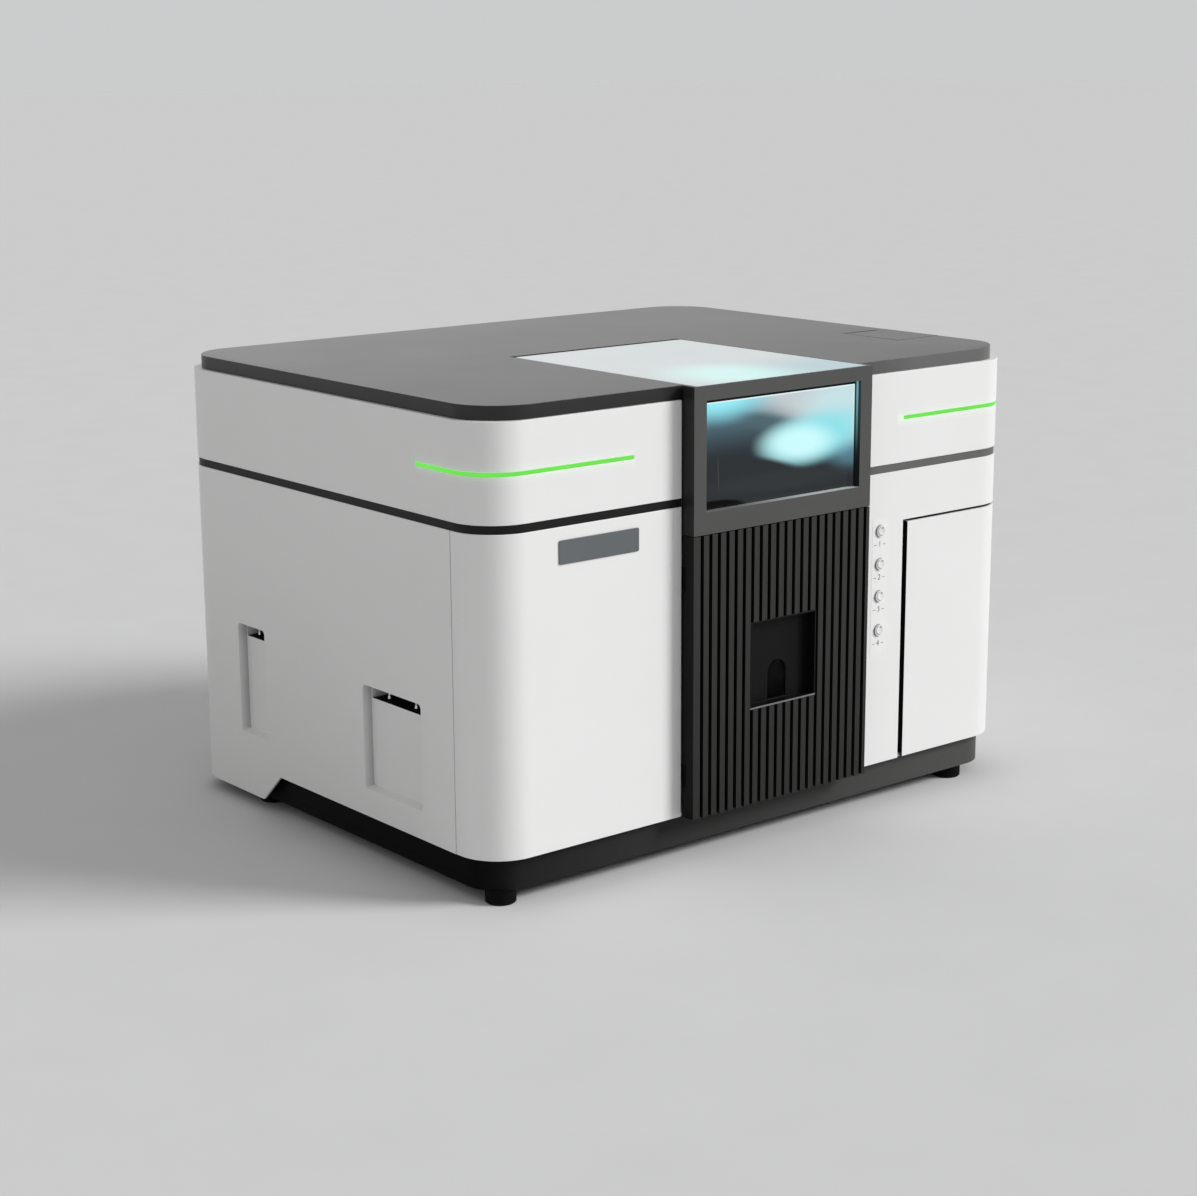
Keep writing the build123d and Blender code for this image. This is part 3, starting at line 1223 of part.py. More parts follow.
# The fan frame is bolted inside the rear panel. Four struts carry the bearing of its rotor.
fan_depth = 25
strut_width = 5
strut_thickness = 4
fan_hub_radius = 16
fan_shaft_radius = 2.5
fan_tip_radius = 40.5
blade_count = 7
blade_thickness = 2
blade_angle = 35
blade_width = 16
fan_front_y = rear_inner_y - fan_depth
rotor_y = fan_front_y + strut_thickness + panel_gap
rotor_depth = fan_depth - strut_thickness - 2 * panel_gap
with BuildPart() as fan_frame:
    block(fan_x - fan_size / 2, fan_x + fan_size / 2, fan_front_y, rear_inner_y,
          fan_z - fan_size / 2, fan_z + fan_size / 2)
    bar((fan_x, fan_front_y - overrun, fan_z), (0, 1, 0), fan_depth + 2 * overrun, fan_bore, Mode.SUBTRACT)
    block(fan_x - fan_size / 2, fan_x + fan_size / 2, fan_front_y, fan_front_y + strut_thickness,
          fan_z - strut_width / 2, fan_z + strut_width / 2)
    block(fan_x - strut_width / 2, fan_x + strut_width / 2, fan_front_y, fan_front_y + strut_thickness,
          fan_z - fan_size / 2, fan_z + fan_size / 2)
    bar((fan_x, fan_front_y, fan_z), (0, 1, 0), strut_thickness, fan_hub_radius)
    bar((fan_x, fan_front_y - overrun, fan_z), (0, 1, 0), strut_thickness + 2 * overrun,
        fan_shaft_radius + running_clearance, Mode.SUBTRACT)
fan_frame.part.label = "fan_frame"
export_step(fan_frame.part, "parts/fan_frame.step")

with BuildPart() as fan_rotor:
    bar((fan_x, rotor_y, fan_z), (0, 1, 0), rotor_depth, fan_hub_radius)
    bar((fan_x, fan_front_y, fan_z), (0, 1, 0), strut_thickness + 2 * panel_gap, fan_shaft_radius)
    blade_length = fan_tip_radius - fan_hub_radius + panel_gap
    for i in range(blade_count):
        turn = Location((fan_x, rotor_y + rotor_depth / 2, fan_z), (0, 360 * i / blade_count, 0))
        lean = Location((fan_hub_radius - panel_gap + blade_length / 2, 0, 0), (blade_angle, 0, 0))
        with Locations(turn * lean):
            Box(blade_length, blade_width, blade_thickness)
fan_rotor.part.label = "fan_rotor"
export_step(fan_rotor.part, "parts/fan_rotor.step")

# The mains inlet is one moulded module: a three-pin socket and the round seat of the power switch.
inlet_lip = 3
inlet_lip_thickness = 2
socket_offset = -16
socket_width = 28
socket_height = 20
socket_depth = 17
contact_width = 2
contact_height = 4
contact_length = 12
contact_spacing = 7
switch_offset = 22
rocker_radius = 9
rocker_width = 13
rocker_sink = 5
rocker_clearance = 0.3
socket_x = mains_x + socket_offset
switch_x = mains_x + switch_offset
inlet_face_y = rear_y + inlet_lip_thickness
rocker_y = inlet_face_y - rocker_sink
with BuildPart() as mains_inlet:
    block(mains_x - mains_width / 2, mains_x + mains_width / 2, inlet_face_y - mains_depth, inlet_face_y,
          mains_z - mains_height / 2, mains_z + mains_height / 2)
    block(mains_x - mains_width / 2 - inlet_lip, mains_x + mains_width / 2 + inlet_lip, rear_y, inlet_face_y,
          mains_z - mains_height / 2 - inlet_lip, mains_z + mains_height / 2 + inlet_lip)
    block(socket_x - socket_width / 2, socket_x + socket_width / 2, inlet_face_y - socket_depth,
          inlet_face_y + overrun, mains_z - socket_height / 2, mains_z + socket_height / 2, Mode.SUBTRACT)
    for i in (-1, 0, 1):
        x = socket_x + i * contact_spacing
        block(x - contact_width / 2, x + contact_width / 2, inlet_face_y - socket_depth,
              inlet_face_y - socket_depth + contact_length, mains_z - contact_height / 2, mains_z + contact_height / 2)
    bar((switch_x - rocker_width / 2 - rocker_clearance, rocker_y, mains_z), (1, 0, 0),
        rocker_width + 2 * rocker_clearance, rocker_radius + rocker_clearance, Mode.SUBTRACT)
mains_inlet.part.label = "mains_inlet"
export_step(mains_inlet.part, "parts/mains_inlet.step")

# The rocker of the power switch is a short drum with a hollowed face, turning on its own middle.
rocker_hollow_radius = 16
rocker_hollow_depth = 2
rocker_tilt_rise = 4.9
with BuildPart() as power_rocker:
    bar((switch_x - rocker_width / 2, rocker_y, mains_z), (1, 0, 0), rocker_width, rocker_radius)
    bar((switch_x - rocker_width / 2 - overrun,
         rocker_y + rocker_radius - rocker_hollow_depth + rocker_hollow_radius, mains_z + rocker_tilt_rise),
        (1, 0, 0), rocker_width + 2 * overrun, rocker_hollow_radius, Mode.SUBTRACT)
power_rocker.part.label = "power_rocker"
export_step(power_rocker.part, "parts/power_rocker.step")
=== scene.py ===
import json
import math
import bmesh
import bpy
from mathutils import Euler, Matrix, Vector

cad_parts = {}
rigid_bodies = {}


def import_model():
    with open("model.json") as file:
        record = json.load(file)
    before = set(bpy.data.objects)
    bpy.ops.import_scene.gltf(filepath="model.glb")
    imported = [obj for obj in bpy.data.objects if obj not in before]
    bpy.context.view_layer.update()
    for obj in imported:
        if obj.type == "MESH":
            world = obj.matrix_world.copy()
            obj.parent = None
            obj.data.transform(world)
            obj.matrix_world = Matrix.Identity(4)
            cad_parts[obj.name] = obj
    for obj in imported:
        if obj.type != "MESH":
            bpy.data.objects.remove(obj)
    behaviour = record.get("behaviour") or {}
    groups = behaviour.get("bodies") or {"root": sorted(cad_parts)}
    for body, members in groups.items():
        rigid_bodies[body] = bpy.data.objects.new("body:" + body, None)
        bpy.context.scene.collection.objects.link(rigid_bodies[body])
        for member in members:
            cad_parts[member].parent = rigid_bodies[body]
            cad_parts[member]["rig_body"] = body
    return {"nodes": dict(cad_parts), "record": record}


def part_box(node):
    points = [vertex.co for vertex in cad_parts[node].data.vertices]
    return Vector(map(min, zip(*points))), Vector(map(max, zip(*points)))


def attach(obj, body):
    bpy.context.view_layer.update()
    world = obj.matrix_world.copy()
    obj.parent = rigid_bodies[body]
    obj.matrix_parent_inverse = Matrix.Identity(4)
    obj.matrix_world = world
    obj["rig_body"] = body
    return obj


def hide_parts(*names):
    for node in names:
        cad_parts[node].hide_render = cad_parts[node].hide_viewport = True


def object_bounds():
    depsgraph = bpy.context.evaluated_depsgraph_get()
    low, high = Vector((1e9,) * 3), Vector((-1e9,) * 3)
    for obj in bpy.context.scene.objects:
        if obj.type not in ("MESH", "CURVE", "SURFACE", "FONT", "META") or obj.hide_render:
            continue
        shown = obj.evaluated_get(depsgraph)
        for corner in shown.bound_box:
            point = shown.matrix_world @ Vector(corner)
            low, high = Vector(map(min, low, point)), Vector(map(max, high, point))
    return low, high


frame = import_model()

scene = bpy.context.scene
scene.view_settings.view_transform = "Standard"
box_of_solids = [list(corner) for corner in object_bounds()]


# The base pan is a folded steel tray with a matt black powder coat, set in behind the white panels.
# A powder coat has a slow drift of gloss and a fine orange peel. This one is painted lighter toward its right
# end as painted light, and its left wall lies in the dark and is painted near black as shade.
def add(tree, kind, inputs=None, **settings):
    """Add a node to a tree. An input is given a value or is linked to another node's output."""
    made = tree.nodes.new(kind)
    for key, value in settings.items():
        setattr(made, key, value)
    for key, value in (inputs or {}).items():
        if isinstance(value, bpy.types.NodeSocket):
            tree.links.new(value, made.inputs[key])
        else:
            made.inputs[key].default_value = value
    return made


def new_finish(name):
    """A new material, with its tree, its shader and the place on the object that its pattern follows."""
    finish = bpy.data.materials.new(name)
    finish.use_nodes = True
    tree = finish.node_tree
    place = add(tree, "ShaderNodeTexCoord").outputs["Object"]
    return finish, tree, tree.nodes["Principled BSDF"], place


def drifting(tree, place, scale, colour, drift, detail=3):
    """A colour that drifts a little lighter and darker over the piece, and the cloud that drives it."""
    noise = add(tree, "ShaderNodeTexNoise", {"Vector": place, "Scale": scale, "Detail": detail})
    cloud = noise.outputs["Fac"]
    shade = add(tree, "ShaderNodeValToRGB", {"Fac": cloud})
    for end, position, share in ((0, 0.3, 1 - drift), (1, 0.7, 1 + drift)):
        shade.color_ramp.elements[end].position = position
        shade.color_ramp.elements[end].color = (*[min(1, c * share) for c in colour], 1)
    return shade.outputs["Color"], cloud


def rough_and_bumped(tree, shader, cloud, low, high, height, strength, depth):
    """Let the gloss follow a cloud, and raise a fine relief."""
    gloss = add(tree, "ShaderNodeMapRange", {"Value": cloud, "To Min": low, "To Max": high})
    tree.links.new(gloss.outputs["Result"], shader.inputs["Roughness"])
    relief = add(tree, "ShaderNodeBump", {"Height": height, "Strength": strength, "Distance": depth})
    tree.links.new(relief.outputs["Normal"], shader.inputs["Normal"])


def blended(tree, share, first, second):
    """Mix from one colour to another by a share."""
    first, second = [colour if isinstance(colour, bpy.types.NodeSocket) else (*colour, 1)
                     for colour in (first, second)]
    return add(tree, "ShaderNodeMix", {"Factor": share, 6: first, 7: second}, data_type="RGBA").outputs[2]


def within(tree, place, low, high):
    """One inside the box between two corners and zero outside it."""
    middle = [(a + b) / 2 for a, b in zip(low, high)]
    half = [(b - a) / 2 for a, b in zip(low, high)]
    near = add(tree, "ShaderNodeMapping", {"Vector": place, "Location": middle, "Scale": half},
               vector_type="TEXTURE")
    away = add(tree, "ShaderNodeVectorMath", {0: near.outputs["Vector"]}, operation="ABSOLUTE")
    parts = add(tree, "ShaderNodeSeparateXYZ", {"Vector": away.outputs["Vector"]}).outputs
    flat = add(tree, "ShaderNodeMath", {0: parts["X"], 1: parts["Y"]}, operation="MAXIMUM").outputs[0]
    most = add(tree, "ShaderNodeMath", {0: flat, 1: parts["Z"]}, operation="MAXIMUM").outputs[0]
    return add(tree, "ShaderNodeMath", {0: most, 1: 1.0}, operation="LESS_THAN").outputs[0]


def along(tree, place, axis, start, end, curve="LINEAR"):
    """A share that rises from zero to one between two places on an axis."""
    way = add(tree, "ShaderNodeSeparateXYZ", {"Vector": place}).outputs[axis]
    return add(tree, "ShaderNodeMapRange", {"Value": way, "From Min": start, "From Max": end},
               interpolation_type=curve).outputs["Result"]


def reopened(finish):
    """The tree, the shader, the place and the colour of a finish that gets more added to it."""
    tree = finish.node_tree
    shader = tree.nodes["Principled BSDF"]
    place = add(tree, "ShaderNodeTexCoord").outputs["Object"]
    return tree, shader, place, shader.inputs["Base Color"].links[0].from_socket


def powder_coat(name, colour, roughness, peel=0.06, drift=0.04, gloss=0.5):
    """Baked powder coat in one colour."""
    finish, tree, shader, place = new_finish(name)
    tone, cloud = drifting(tree, place, 9, colour, drift)
    tree.links.new(tone, shader.inputs["Base Color"])
    shader.inputs["Specular IOR Level"].default_value = gloss
    skin = add(tree, "ShaderNodeTexNoise", {"Vector": place, "Scale": 900, "Detail": 2}).outputs["Fac"]
    rough_and_bumped(tree, shader, cloud, roughness * 0.9, roughness * 1.1, skin, peel, 0.0004)
    return finish


def dress(finish, *names):
    """Give CAD nodes their finish."""
    for name in names:
        mesh = frame["nodes"][name].data
        mesh.materials.clear()
        mesh.materials.append(finish)


def new_piece(name, mesh, body):
    """Put a mesh into the scene, riding on a body."""
    piece = bpy.data.objects.new(name, mesh)
    scene.collection.objects.link(piece)
    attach(piece, body)
    return piece


def ease(name, width, finish, steps=2, others=(), which=None):
    """A copy of a node whose sharp edges are broken by a small radius. It takes the node's place.
    The function which gives the number of a face's coat, from the face's middle and its direction."""
    node = frame["nodes"][name]
    work = bmesh.new()
    work.from_mesh(node.data)
    bmesh.ops.remove_doubles(work, verts=work.verts, dist=0.000002)
    bmesh.ops.dissolve_limit(work, angle_limit=0.002, verts=work.verts, edges=work.edges)
    if which:
        work.normal_update()
        for face in work.faces:
            face.material_index = which(face.calc_center_median(), face.normal)
    mesh = bpy.data.meshes.new(name + "_eased")
    work.to_mesh(mesh)
    work.free()
    if "custom_normal" in mesh.attributes:
        mesh.attributes.remove(mesh.attributes["custom_normal"])
    mesh.shade_smooth()
    mesh.set_sharp_from_angle(angle=math.radians(30))
    for coat in (finish, *others):
        mesh.materials.append(coat)
    piece = new_piece(mesh.name, mesh, node["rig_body"])
    edge = piece.modifiers.new("broken edge", "BEVEL")
    edge.width = width
    edge.segments = steps
    edge.limit_method = "ANGLE"
    edge.angle_limit = math.radians(40)
    edge.harden_normals = True
    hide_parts(name)


pan_low, pan_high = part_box("base_pan")
dark_from = pan_low.x + 0.002
dark_to = pan_low.x + 0.03
# The pan's coat is painted lighter toward its right end as painted light, and near black on its left wall as
# painted shade.
pan_black = powder_coat("pan black coat", (0.013, 0.013, 0.013), 0.5, gloss=0.05)
tree, shader, place, coat = reopened(pan_black)
painted_light_toward_right = blended(tree, along(tree, place, "X", dark_to, pan_high.x), coat, (0.082, 0.082, 0.080))
shaded = blended(tree, along(tree, place, "X", dark_from, dark_to), (0.002, 0.002, 0.002), painted_light_toward_right)
tree.links.new(shaded, shader.inputs["Base Color"])
ease("base_pan", 0.0012, pan_black)


# The four feet are moulded rubber on a steel stud. The rubber is matt, with a bloom of dust near the floor.
# They are screwed into the pan from below.
def moulded(name, colour, roughness, grain=0.1, dusty_below=0, gloss=0.5):
    """Moulded plastic or rubber with the spark texture of its tool, and dust below a height."""
    finish, tree, shader, place = new_finish(name)
    shader.inputs["Specular IOR Level"].default_value = gloss
    tone, cloud = drifting(tree, place, 14, colour, 0.07)
    if dusty_below:
        height = add(tree, "ShaderNodeSeparateXYZ", {"Vector": place}).outputs["Z"]
        dust = add(tree, "ShaderNodeMapRange", {"Value": height, "From Min": 0, "From Max": dusty_below,
                                                "To Min": 0.6, "To Max": 0})
        tone = blended(tree, dust.outputs["Result"], tone, [c * 3 for c in colour])
    tree.links.new(tone, shader.inputs["Base Color"])
    spark = add(tree, "ShaderNodeTexVoronoi", {"Vector": place, "Scale": 1800}).outputs["Distance"]
    rough_and_bumped(tree, shader, cloud, roughness * 0.9, roughness * 1.1, spark, grain, 0.0002)
    return finish


foot_rubber = moulded("foot rubber", (0.004, 0.004, 0.004), 0.75, grain=0.2, dusty_below=0.004, gloss=0.06)
dress(foot_rubber, "levelling_feet")


# The frame inside is galvanised sheet and square tube, and the optical bench is one machined casting.
# Rolled and machined metal shows fine lines, drawn out along the axis whose stretch is small.
def drawn_metal(name, colour, roughness, stretch):
    """Bare metal with drawn lines."""
    finish, tree, shader, place = new_finish(name)
    pull = add(tree, "ShaderNodeMapping", {"Vector": place, "Scale": stretch}).outputs["Vector"]
    tone, lines = drifting(tree, pull, 1, colour, 0.12, detail=4)
    tree.links.new(tone, shader.inputs["Base Color"])
    shader.inputs["Metallic"].default_value = 1
    rough_and_bumped(tree, shader, lines, roughness * 0.75, roughness * 1.25, lines, 0.12, 0.0002)
    return finish


galvanised = drawn_metal("galvanised sheet", (0.56, 0.58, 0.60), 0.45, (30, 30, 30))
bench_metal = drawn_metal("machined casting", (0.66, 0.67, 0.68), 0.35, (900, 12, 60))
dress(galvanised, "deck_plate", "frame_posts")
dress(bench_metal, "optical_bench")

# The burner bay is lined with brushed stainless sheet, folded and spot welded, against acid and heat.
# Two quartz discs let the light beam through its walls.
bay_steel = drawn_metal("brushed stainless", (0.60, 0.60, 0.60), 0.3, (14, 900, 900))
dress(bay_steel, "burner_bay_liner")


def clear_glass(name, painted_cyan_glow, roughness, opacity):
    """Glass that lets most light straight through, with a slight tint and faint waves in its surface."""
    finish, tree, shader, place = new_finish(name)
    tone, wave = drifting(tree, place, 40, painted_cyan_glow, 0.03)
    tree.links.new(tone, shader.inputs["Base Color"])
    rough_and_bumped(tree, shader, wave, roughness, roughness * 1.5, wave, 0.03, 0.001)
    shader.inputs["IOR"].default_value = 1.46
    shader.inputs["Alpha"].default_value = opacity
    return finish


quartz = clear_glass("quartz disc", (0.80, 0.86, 0.90), 0.03, 0.3)
dress(quartz, "beam_windows")

# The burner rides on two ground rods. Its carriage is milled aluminium, and its head is solid titanium,
# straw and blue near the slot from the flame. The drum, nebulizer and drain trap are moulded polymer.
ground_rod = drawn_metal("ground steel", (0.68, 0.68, 0.69), 0.22, (700, 700, 20))
milled = drawn_metal("milled aluminium", (0.70, 0.71, 0.72), 0.3, (20, 700, 700))
grey_polymer = moulded("grey polymer", (0.30, 0.31, 0.32), 0.45)
dress(ground_rod, "lift_column")
dress(milled, "burner_carriage")
dress(grey_polymer, "mixing_chamber", "nebulizer", "drain_trap")


def spot(tree, place, centre, radii, lean=(0, 0, 0), hardness=1.0):
    """One at a centre, fading smoothly to zero at an ellipsoid round it."""
    near = add(tree, "ShaderNodeMapping",
               {"Vector": place, "Location": centre, "Rotation": lean, "Scale": radii},
               vector_type="TEXTURE").outputs["Vector"]
    ball = add(tree, "ShaderNodeTexGradient", {"Vector": near}, gradient_type="SPHERICAL").outputs["Fac"]
    return add(tree, "ShaderNodeMapRange", {"Value": ball, "From Max": hardness},
               interpolation_type="SMOOTHSTEP").outputs["Result"]


head_low, head_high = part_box("burner_head")
burner_titanium = drawn_metal("titanium", (0.42, 0.40, 0.38), 0.32, (14, 700, 700))
tree, shader, place, bare = reopened(burner_titanium)
head_middle = (0, (head_low.y + head_high.y) / 2, head_high.z)
straw = blended(tree, spot(tree, place, head_middle, (0.075, 0.014, 0.020)), bare, (0.42, 0.30, 0.14))
blued = blended(tree, spot(tree, place, head_middle, (0.065, 0.008, 0.010)), straw, (0.12, 0.16, 0.34))
tree.links.new(blued, shader.inputs["Base Color"])
dress(burner_titanium, "burner_head")

# The monochromator is a light-tight casting, anodised black inside and out, with its lid screwed down.
# Its mirrors are front-silvered glass, and the grating stands on a small turntable.
anodised = powder_coat("black anodising", (0.03, 0.03, 0.032), 0.55, peel=0.12)
detector_coat = powder_coat("detector coat", (0.10, 0.10, 0.11), 0.4)
silvered = drawn_metal("silvered glass", (0.90, 0.91, 0.92), 0.04, (25, 25, 25))
screw_steel = drawn_metal("zinc plated steel", (0.55, 0.56, 0.57), 0.3, (200, 200, 200))
dress(anodised, "monochromator_housing", "monochromator_lid", "grating_table", "slit_wheel")
dress(detector_coat, "detector_housing")
dress(silvered, "monochromator_mirrors")


def new_growth(name, lengths):
    """A new geometry tree with named inputs, and its input node."""
    tree = bpy.data.node_groups.new(name, "GeometryNodeTree")
    tree.interface.new_socket("Geometry", in_out="OUTPUT", socket_type="NodeSocketGeometry")
    tree.interface.new_socket("Places", in_out="INPUT", socket_type="NodeSocketGeometry")
    for label in lengths:
        tree.interface.new_socket(label, in_out="INPUT", socket_type="NodeSocketFloat")
    return tree, add(tree, "NodeGroupInput").outputs


def close_growth(tree, form, places, finish):
    """Set the form on each place, make it real and give it its finish."""
    each = add(tree, "GeometryNodeInstanceOnPoints",
               {"Points": places, "Instance": form}).outputs["Instances"]
    real = add(tree, "GeometryNodeRealizeInstances", {"Geometry": each}).outputs["Geometry"]
    done = add(tree, "GeometryNodeSetMaterial", {"Geometry": real, "Material": finish}).outputs["Geometry"]
    add(tree, "NodeGroupOutput", {"Geometry": done})
    return tree


def grown(name, tree, places, settings, body):
    """Grow a tree's form on a list of places, and keep the plain mesh that comes out as a piece."""
    seed_mesh = bpy.data.meshes.new(name + "_places")
    seed_mesh.from_pydata(places, [], [])
    seed = bpy.data.objects.new(name + "_places", seed_mesh)
    scene.collection.objects.link(seed)
    growth = seed.modifiers.new("growth", "NODES")
    growth.node_group = tree
    for item in tree.interface.items_tree:
        if item.in_out == "INPUT" and item.name in settings:
            growth[item.identifier] = settings[item.name]
    seen = bpy.context.evaluated_depsgraph_get()
    seen.update()
    mesh = bpy.data.meshes.new_from_object(seed.evaluated_get(seen), preserve_all_data_layers=True,
                                           depsgraph=seen)
    bpy.data.objects.remove(seed)
    mesh.name = name
    return new_piece(name, mesh, body)


def screw_tree(name, turn, finish):
    """A round screw head with a hexagon socket, turned to face out of its panel."""
    tree, given = new_growth(name, ("Head Radius", "Head Height", "Socket Radius", "Socket Depth"))
    head = add(tree, "GeometryNodeMeshCylinder", {"Vertices": 32, "Radius": given["Head Radius"],
                                                  "Depth": given["Head Height"]}).outputs["Mesh"]
    key = add(tree, "GeometryNodeMeshCylinder", {"Vertices": 6, "Radius": given["Socket Radius"],
                                                 "Depth": given["Head Height"]}).outputs["Mesh"]
    lift = add(tree, "ShaderNodeMath", {0: given["Head Height"], 1: given["Socket Depth"]},
               operation="SUBTRACT").outputs[0]
    up = add(tree, "ShaderNodeCombineXYZ", {"Z": lift}).outputs["Vector"]
    raised = add(tree, "GeometryNodeTransform", {"Geometry": key, "Translation": up}).outputs["Geometry"]
    cut = add(tree, "GeometryNodeMeshBoolean", {"Mesh 1": head, "Mesh 2": raised},
              operation="DIFFERENCE").outputs["Mesh"]
    turned = add(tree, "GeometryNodeTransform", {"Geometry": cut, "Rotation": turn}).outputs["Geometry"]
    return close_growth(tree, turned, given["Places"], finish)


lid_low, lid_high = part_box("monochromator_lid")
lid_screws = {"Head Radius": 0.0035, "Head Height": 0.0024, "Socket Radius": 0.0016, "Socket Depth": 0.0014}
lid_inset = 0.008
lid_rows = 5
lid_step = (lid_high.y - lid_low.y - 2 * lid_inset) / (lid_rows - 1)
lid_xs = [lid_low.x + lid_inset, (lid_low.x + lid_high.x) / 2, lid_high.x - lid_inset]
lid_ys = [lid_low.y + lid_inset + i * lid_step for i in range(lid_rows)]
lid_places = [(x, y, lid_high.z + lid_screws["Head Height"] / 2) for x in lid_xs for y in lid_ys
              if x != lid_xs[1] or y in (lid_ys[0], lid_ys[-1])]
grown("lid_screws", screw_tree("lid screws", (0, 0, 0), screw_steel), lid_places, lid_screws,
      "cabinet")

# Eight hollow cathode lamps stand in a turret of milled discs: clear glass tubes on black plug bases.
# In each tube a metal cup and two support wires stand on the axis.
motor_coat = powder_coat("motor coat", (0.05, 0.05, 0.055), 0.45)
black_plastic = moulded("black plastic", (0.022, 0.022, 0.023), 0.42)
lamp_glass = clear_glass("lamp glass", (0.82, 0.86, 0.87), 0.04, 0.28)
dress(milled, "lamp_turret", "turret_stand")
dress(motor_coat, "turret_motor")
dress(black_plastic, "lamp_bases")
dress(lamp_glass, "cathode_lamps")
electrode = {"Cup Radius": 0.005, "Cup Length": 0.02,
             "Wire Radius": 0.0006, "Wire Length": 0.095, "Spacing": 0.008}
electrodes, given = new_growth("lamp electrodes", electrode)
cup = add(electrodes, "GeometryNodeMeshCylinder", {"Vertices": 24, "Radius": given["Cup Radius"],
                                                   "Depth": given["Cup Length"]}).outputs["Mesh"]
wire = add(electrodes, "GeometryNodeMeshCylinder", {"Vertices": 8, "Radius": given["Wire Radius"],
                                                    "Depth": given["Wire Length"]}).outputs["Mesh"]
back = add(electrodes, "ShaderNodeMath", {0: given["Wire Length"], 1: 0.5}, operation="MULTIPLY").outputs[0]
aside = add(electrodes, "ShaderNodeCombineXYZ", {"X": given["Spacing"], "Z": back}).outputs["Vector"]
across = add(electrodes, "ShaderNodeVectorMath", {0: aside, 1: (-1, 1, 1)},
             operation="MULTIPLY").outputs["Vector"]
bundle = add(electrodes, "GeometryNodeJoinGeometry", {"Geometry": cup})
for shift in (aside, across):
    moved = add(electrodes, "GeometryNodeTransform", {"Geometry": wire, "Translation": shift})
    electrodes.links.new(moved.outputs["Geometry"], bundle.inputs["Geometry"])
lying = add(electrodes, "GeometryNodeTransform", {"Geometry": bundle.outputs["Geometry"],
                                                  "Rotation": (0, math.pi / 2, 0)}).outputs["Geometry"]
close_growth(electrodes, lying, given["Places"], ground_rod)
lamps_low, lamps_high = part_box("cathode_lamps")
lamp_radius = 0.0185
lamp_count = 8
cup_setback = 0.05
shaft_y, shaft_z = (lamps_low.y + lamps_high.y) / 2, (lamps_low.z + lamps_high.z) / 2
ring = (lamps_high.z - lamps_low.z) / 2 - lamp_radius
lamp_turns = [i * 2 * math.pi / lamp_count for i in range(lamp_count)]
lamp_places = [(lamps_low.x + cup_setback, shaft_y + ring * math.sin(turn), shaft_z + ring * math.cos(turn))
               for turn in lamp_turns]
grown("lamp_electrodes", electrodes, lamp_places, electrode, "turret")

# The electronics stand on the deck: a folded power supply case, the main board on pillars, and the gas
# control box. The boards have green solder resist over fibreglass.
solder_resist = moulded("solder resist", (0.015, 0.10, 0.045), 0.3, grain=0.04)
dress(galvanised, "power_supply", "gas_control_box")
dress(solder_resist, "main_board", "button_board")

# The white side panels are pressed steel with a satin white coat, bent round the rear corners of the cabinet.
# Each has two pressed grip pockets. Little light gets to their side walls, and none into the finger slots,
# so the walls carry painted shade and the slots are painted near black as shade.
openings = frame["record"]["physics"]["openings"]
grips = [opening["box_m"] for opening in openings if opening["name"].endswith("grip")]
slots = [opening["box_m"] for opening in openings if opening["name"].endswith("finger_slot")]
side_face = box_of_solids[1][0]
grip_edge = side_face - 0.0005
grip_floor = side_face - 0.010
slot_start = grip_floor - 0.0002
grip_start = grip_floor - 0.0005
look_ahead = 0.002
slot_margin = 0.001
grip_margin = 0.004
white = (0.80, 0.80, 0.795)
unlit = (0.006, 0.006, 0.007)


def inside(point, box, margin):
    """Whether a point lies in a box that is grown by a margin on every side."""
    low, high = box
    return all(a - margin < p < b + margin for a, p, b in zip(low, point, high))


def pressed_coat(middle, facing):
    """The coat of a side panel's face: 1 on the end walls of a grip, 2 in a finger slot, and else 0."""
    ahead = middle + look_ahead * facing
    if any(inside(ahead, box, slot_margin) for box in slots) and abs(middle.x) < slot_start:
        return 0 if facing.y < -0.5 else 2
    in_grip = any(inside(ahead, box, grip_margin) for box in grips)
    if in_grip and abs(facing.y) > 0.4 and abs(middle.x) > grip_start:
        return 1
    return 0


white_coat = powder_coat("satin white coat", white, 0.38, peel=0.03, drift=0.008)
grip_shade, tree, shader, place = new_finish("shaded white coat")
depth = add(tree, "ShaderNodeSeparateXYZ", {"Vector": place}).outputs["X"]
inward = add(tree, "ShaderNodeMath", {0: depth}, operation="ABSOLUTE").outputs[0]
shade = add(tree, "ShaderNodeMapRange", {"Value": inward, "From Min": grip_edge, "From Max": grip_floor})
falling = blended(tree, shade.outputs["Result"], (0.72, 0.72, 0.72), (0.42, 0.42, 0.42))
tree.links.new(falling, shader.inputs["Base Color"])
cloud = add(tree, "ShaderNodeTexNoise", {"Vector": place, "Scale": 900}).outputs["Fac"]
rough_and_bumped(tree, shader, cloud, 0.38, 0.45, cloud, 0.03, 0.0004)
# Painted shade: a near-black coat for faces that no light reaches.
painted_dark_shade = powder_coat("unlit white coat", unlit, 0.6, gloss=0.1)
for name in ("left_side_panel", "right_side_panel"):
    ease(name, 0.0008, white_coat, others=(grip_shade, painted_dark_shade), which=pressed_coat)

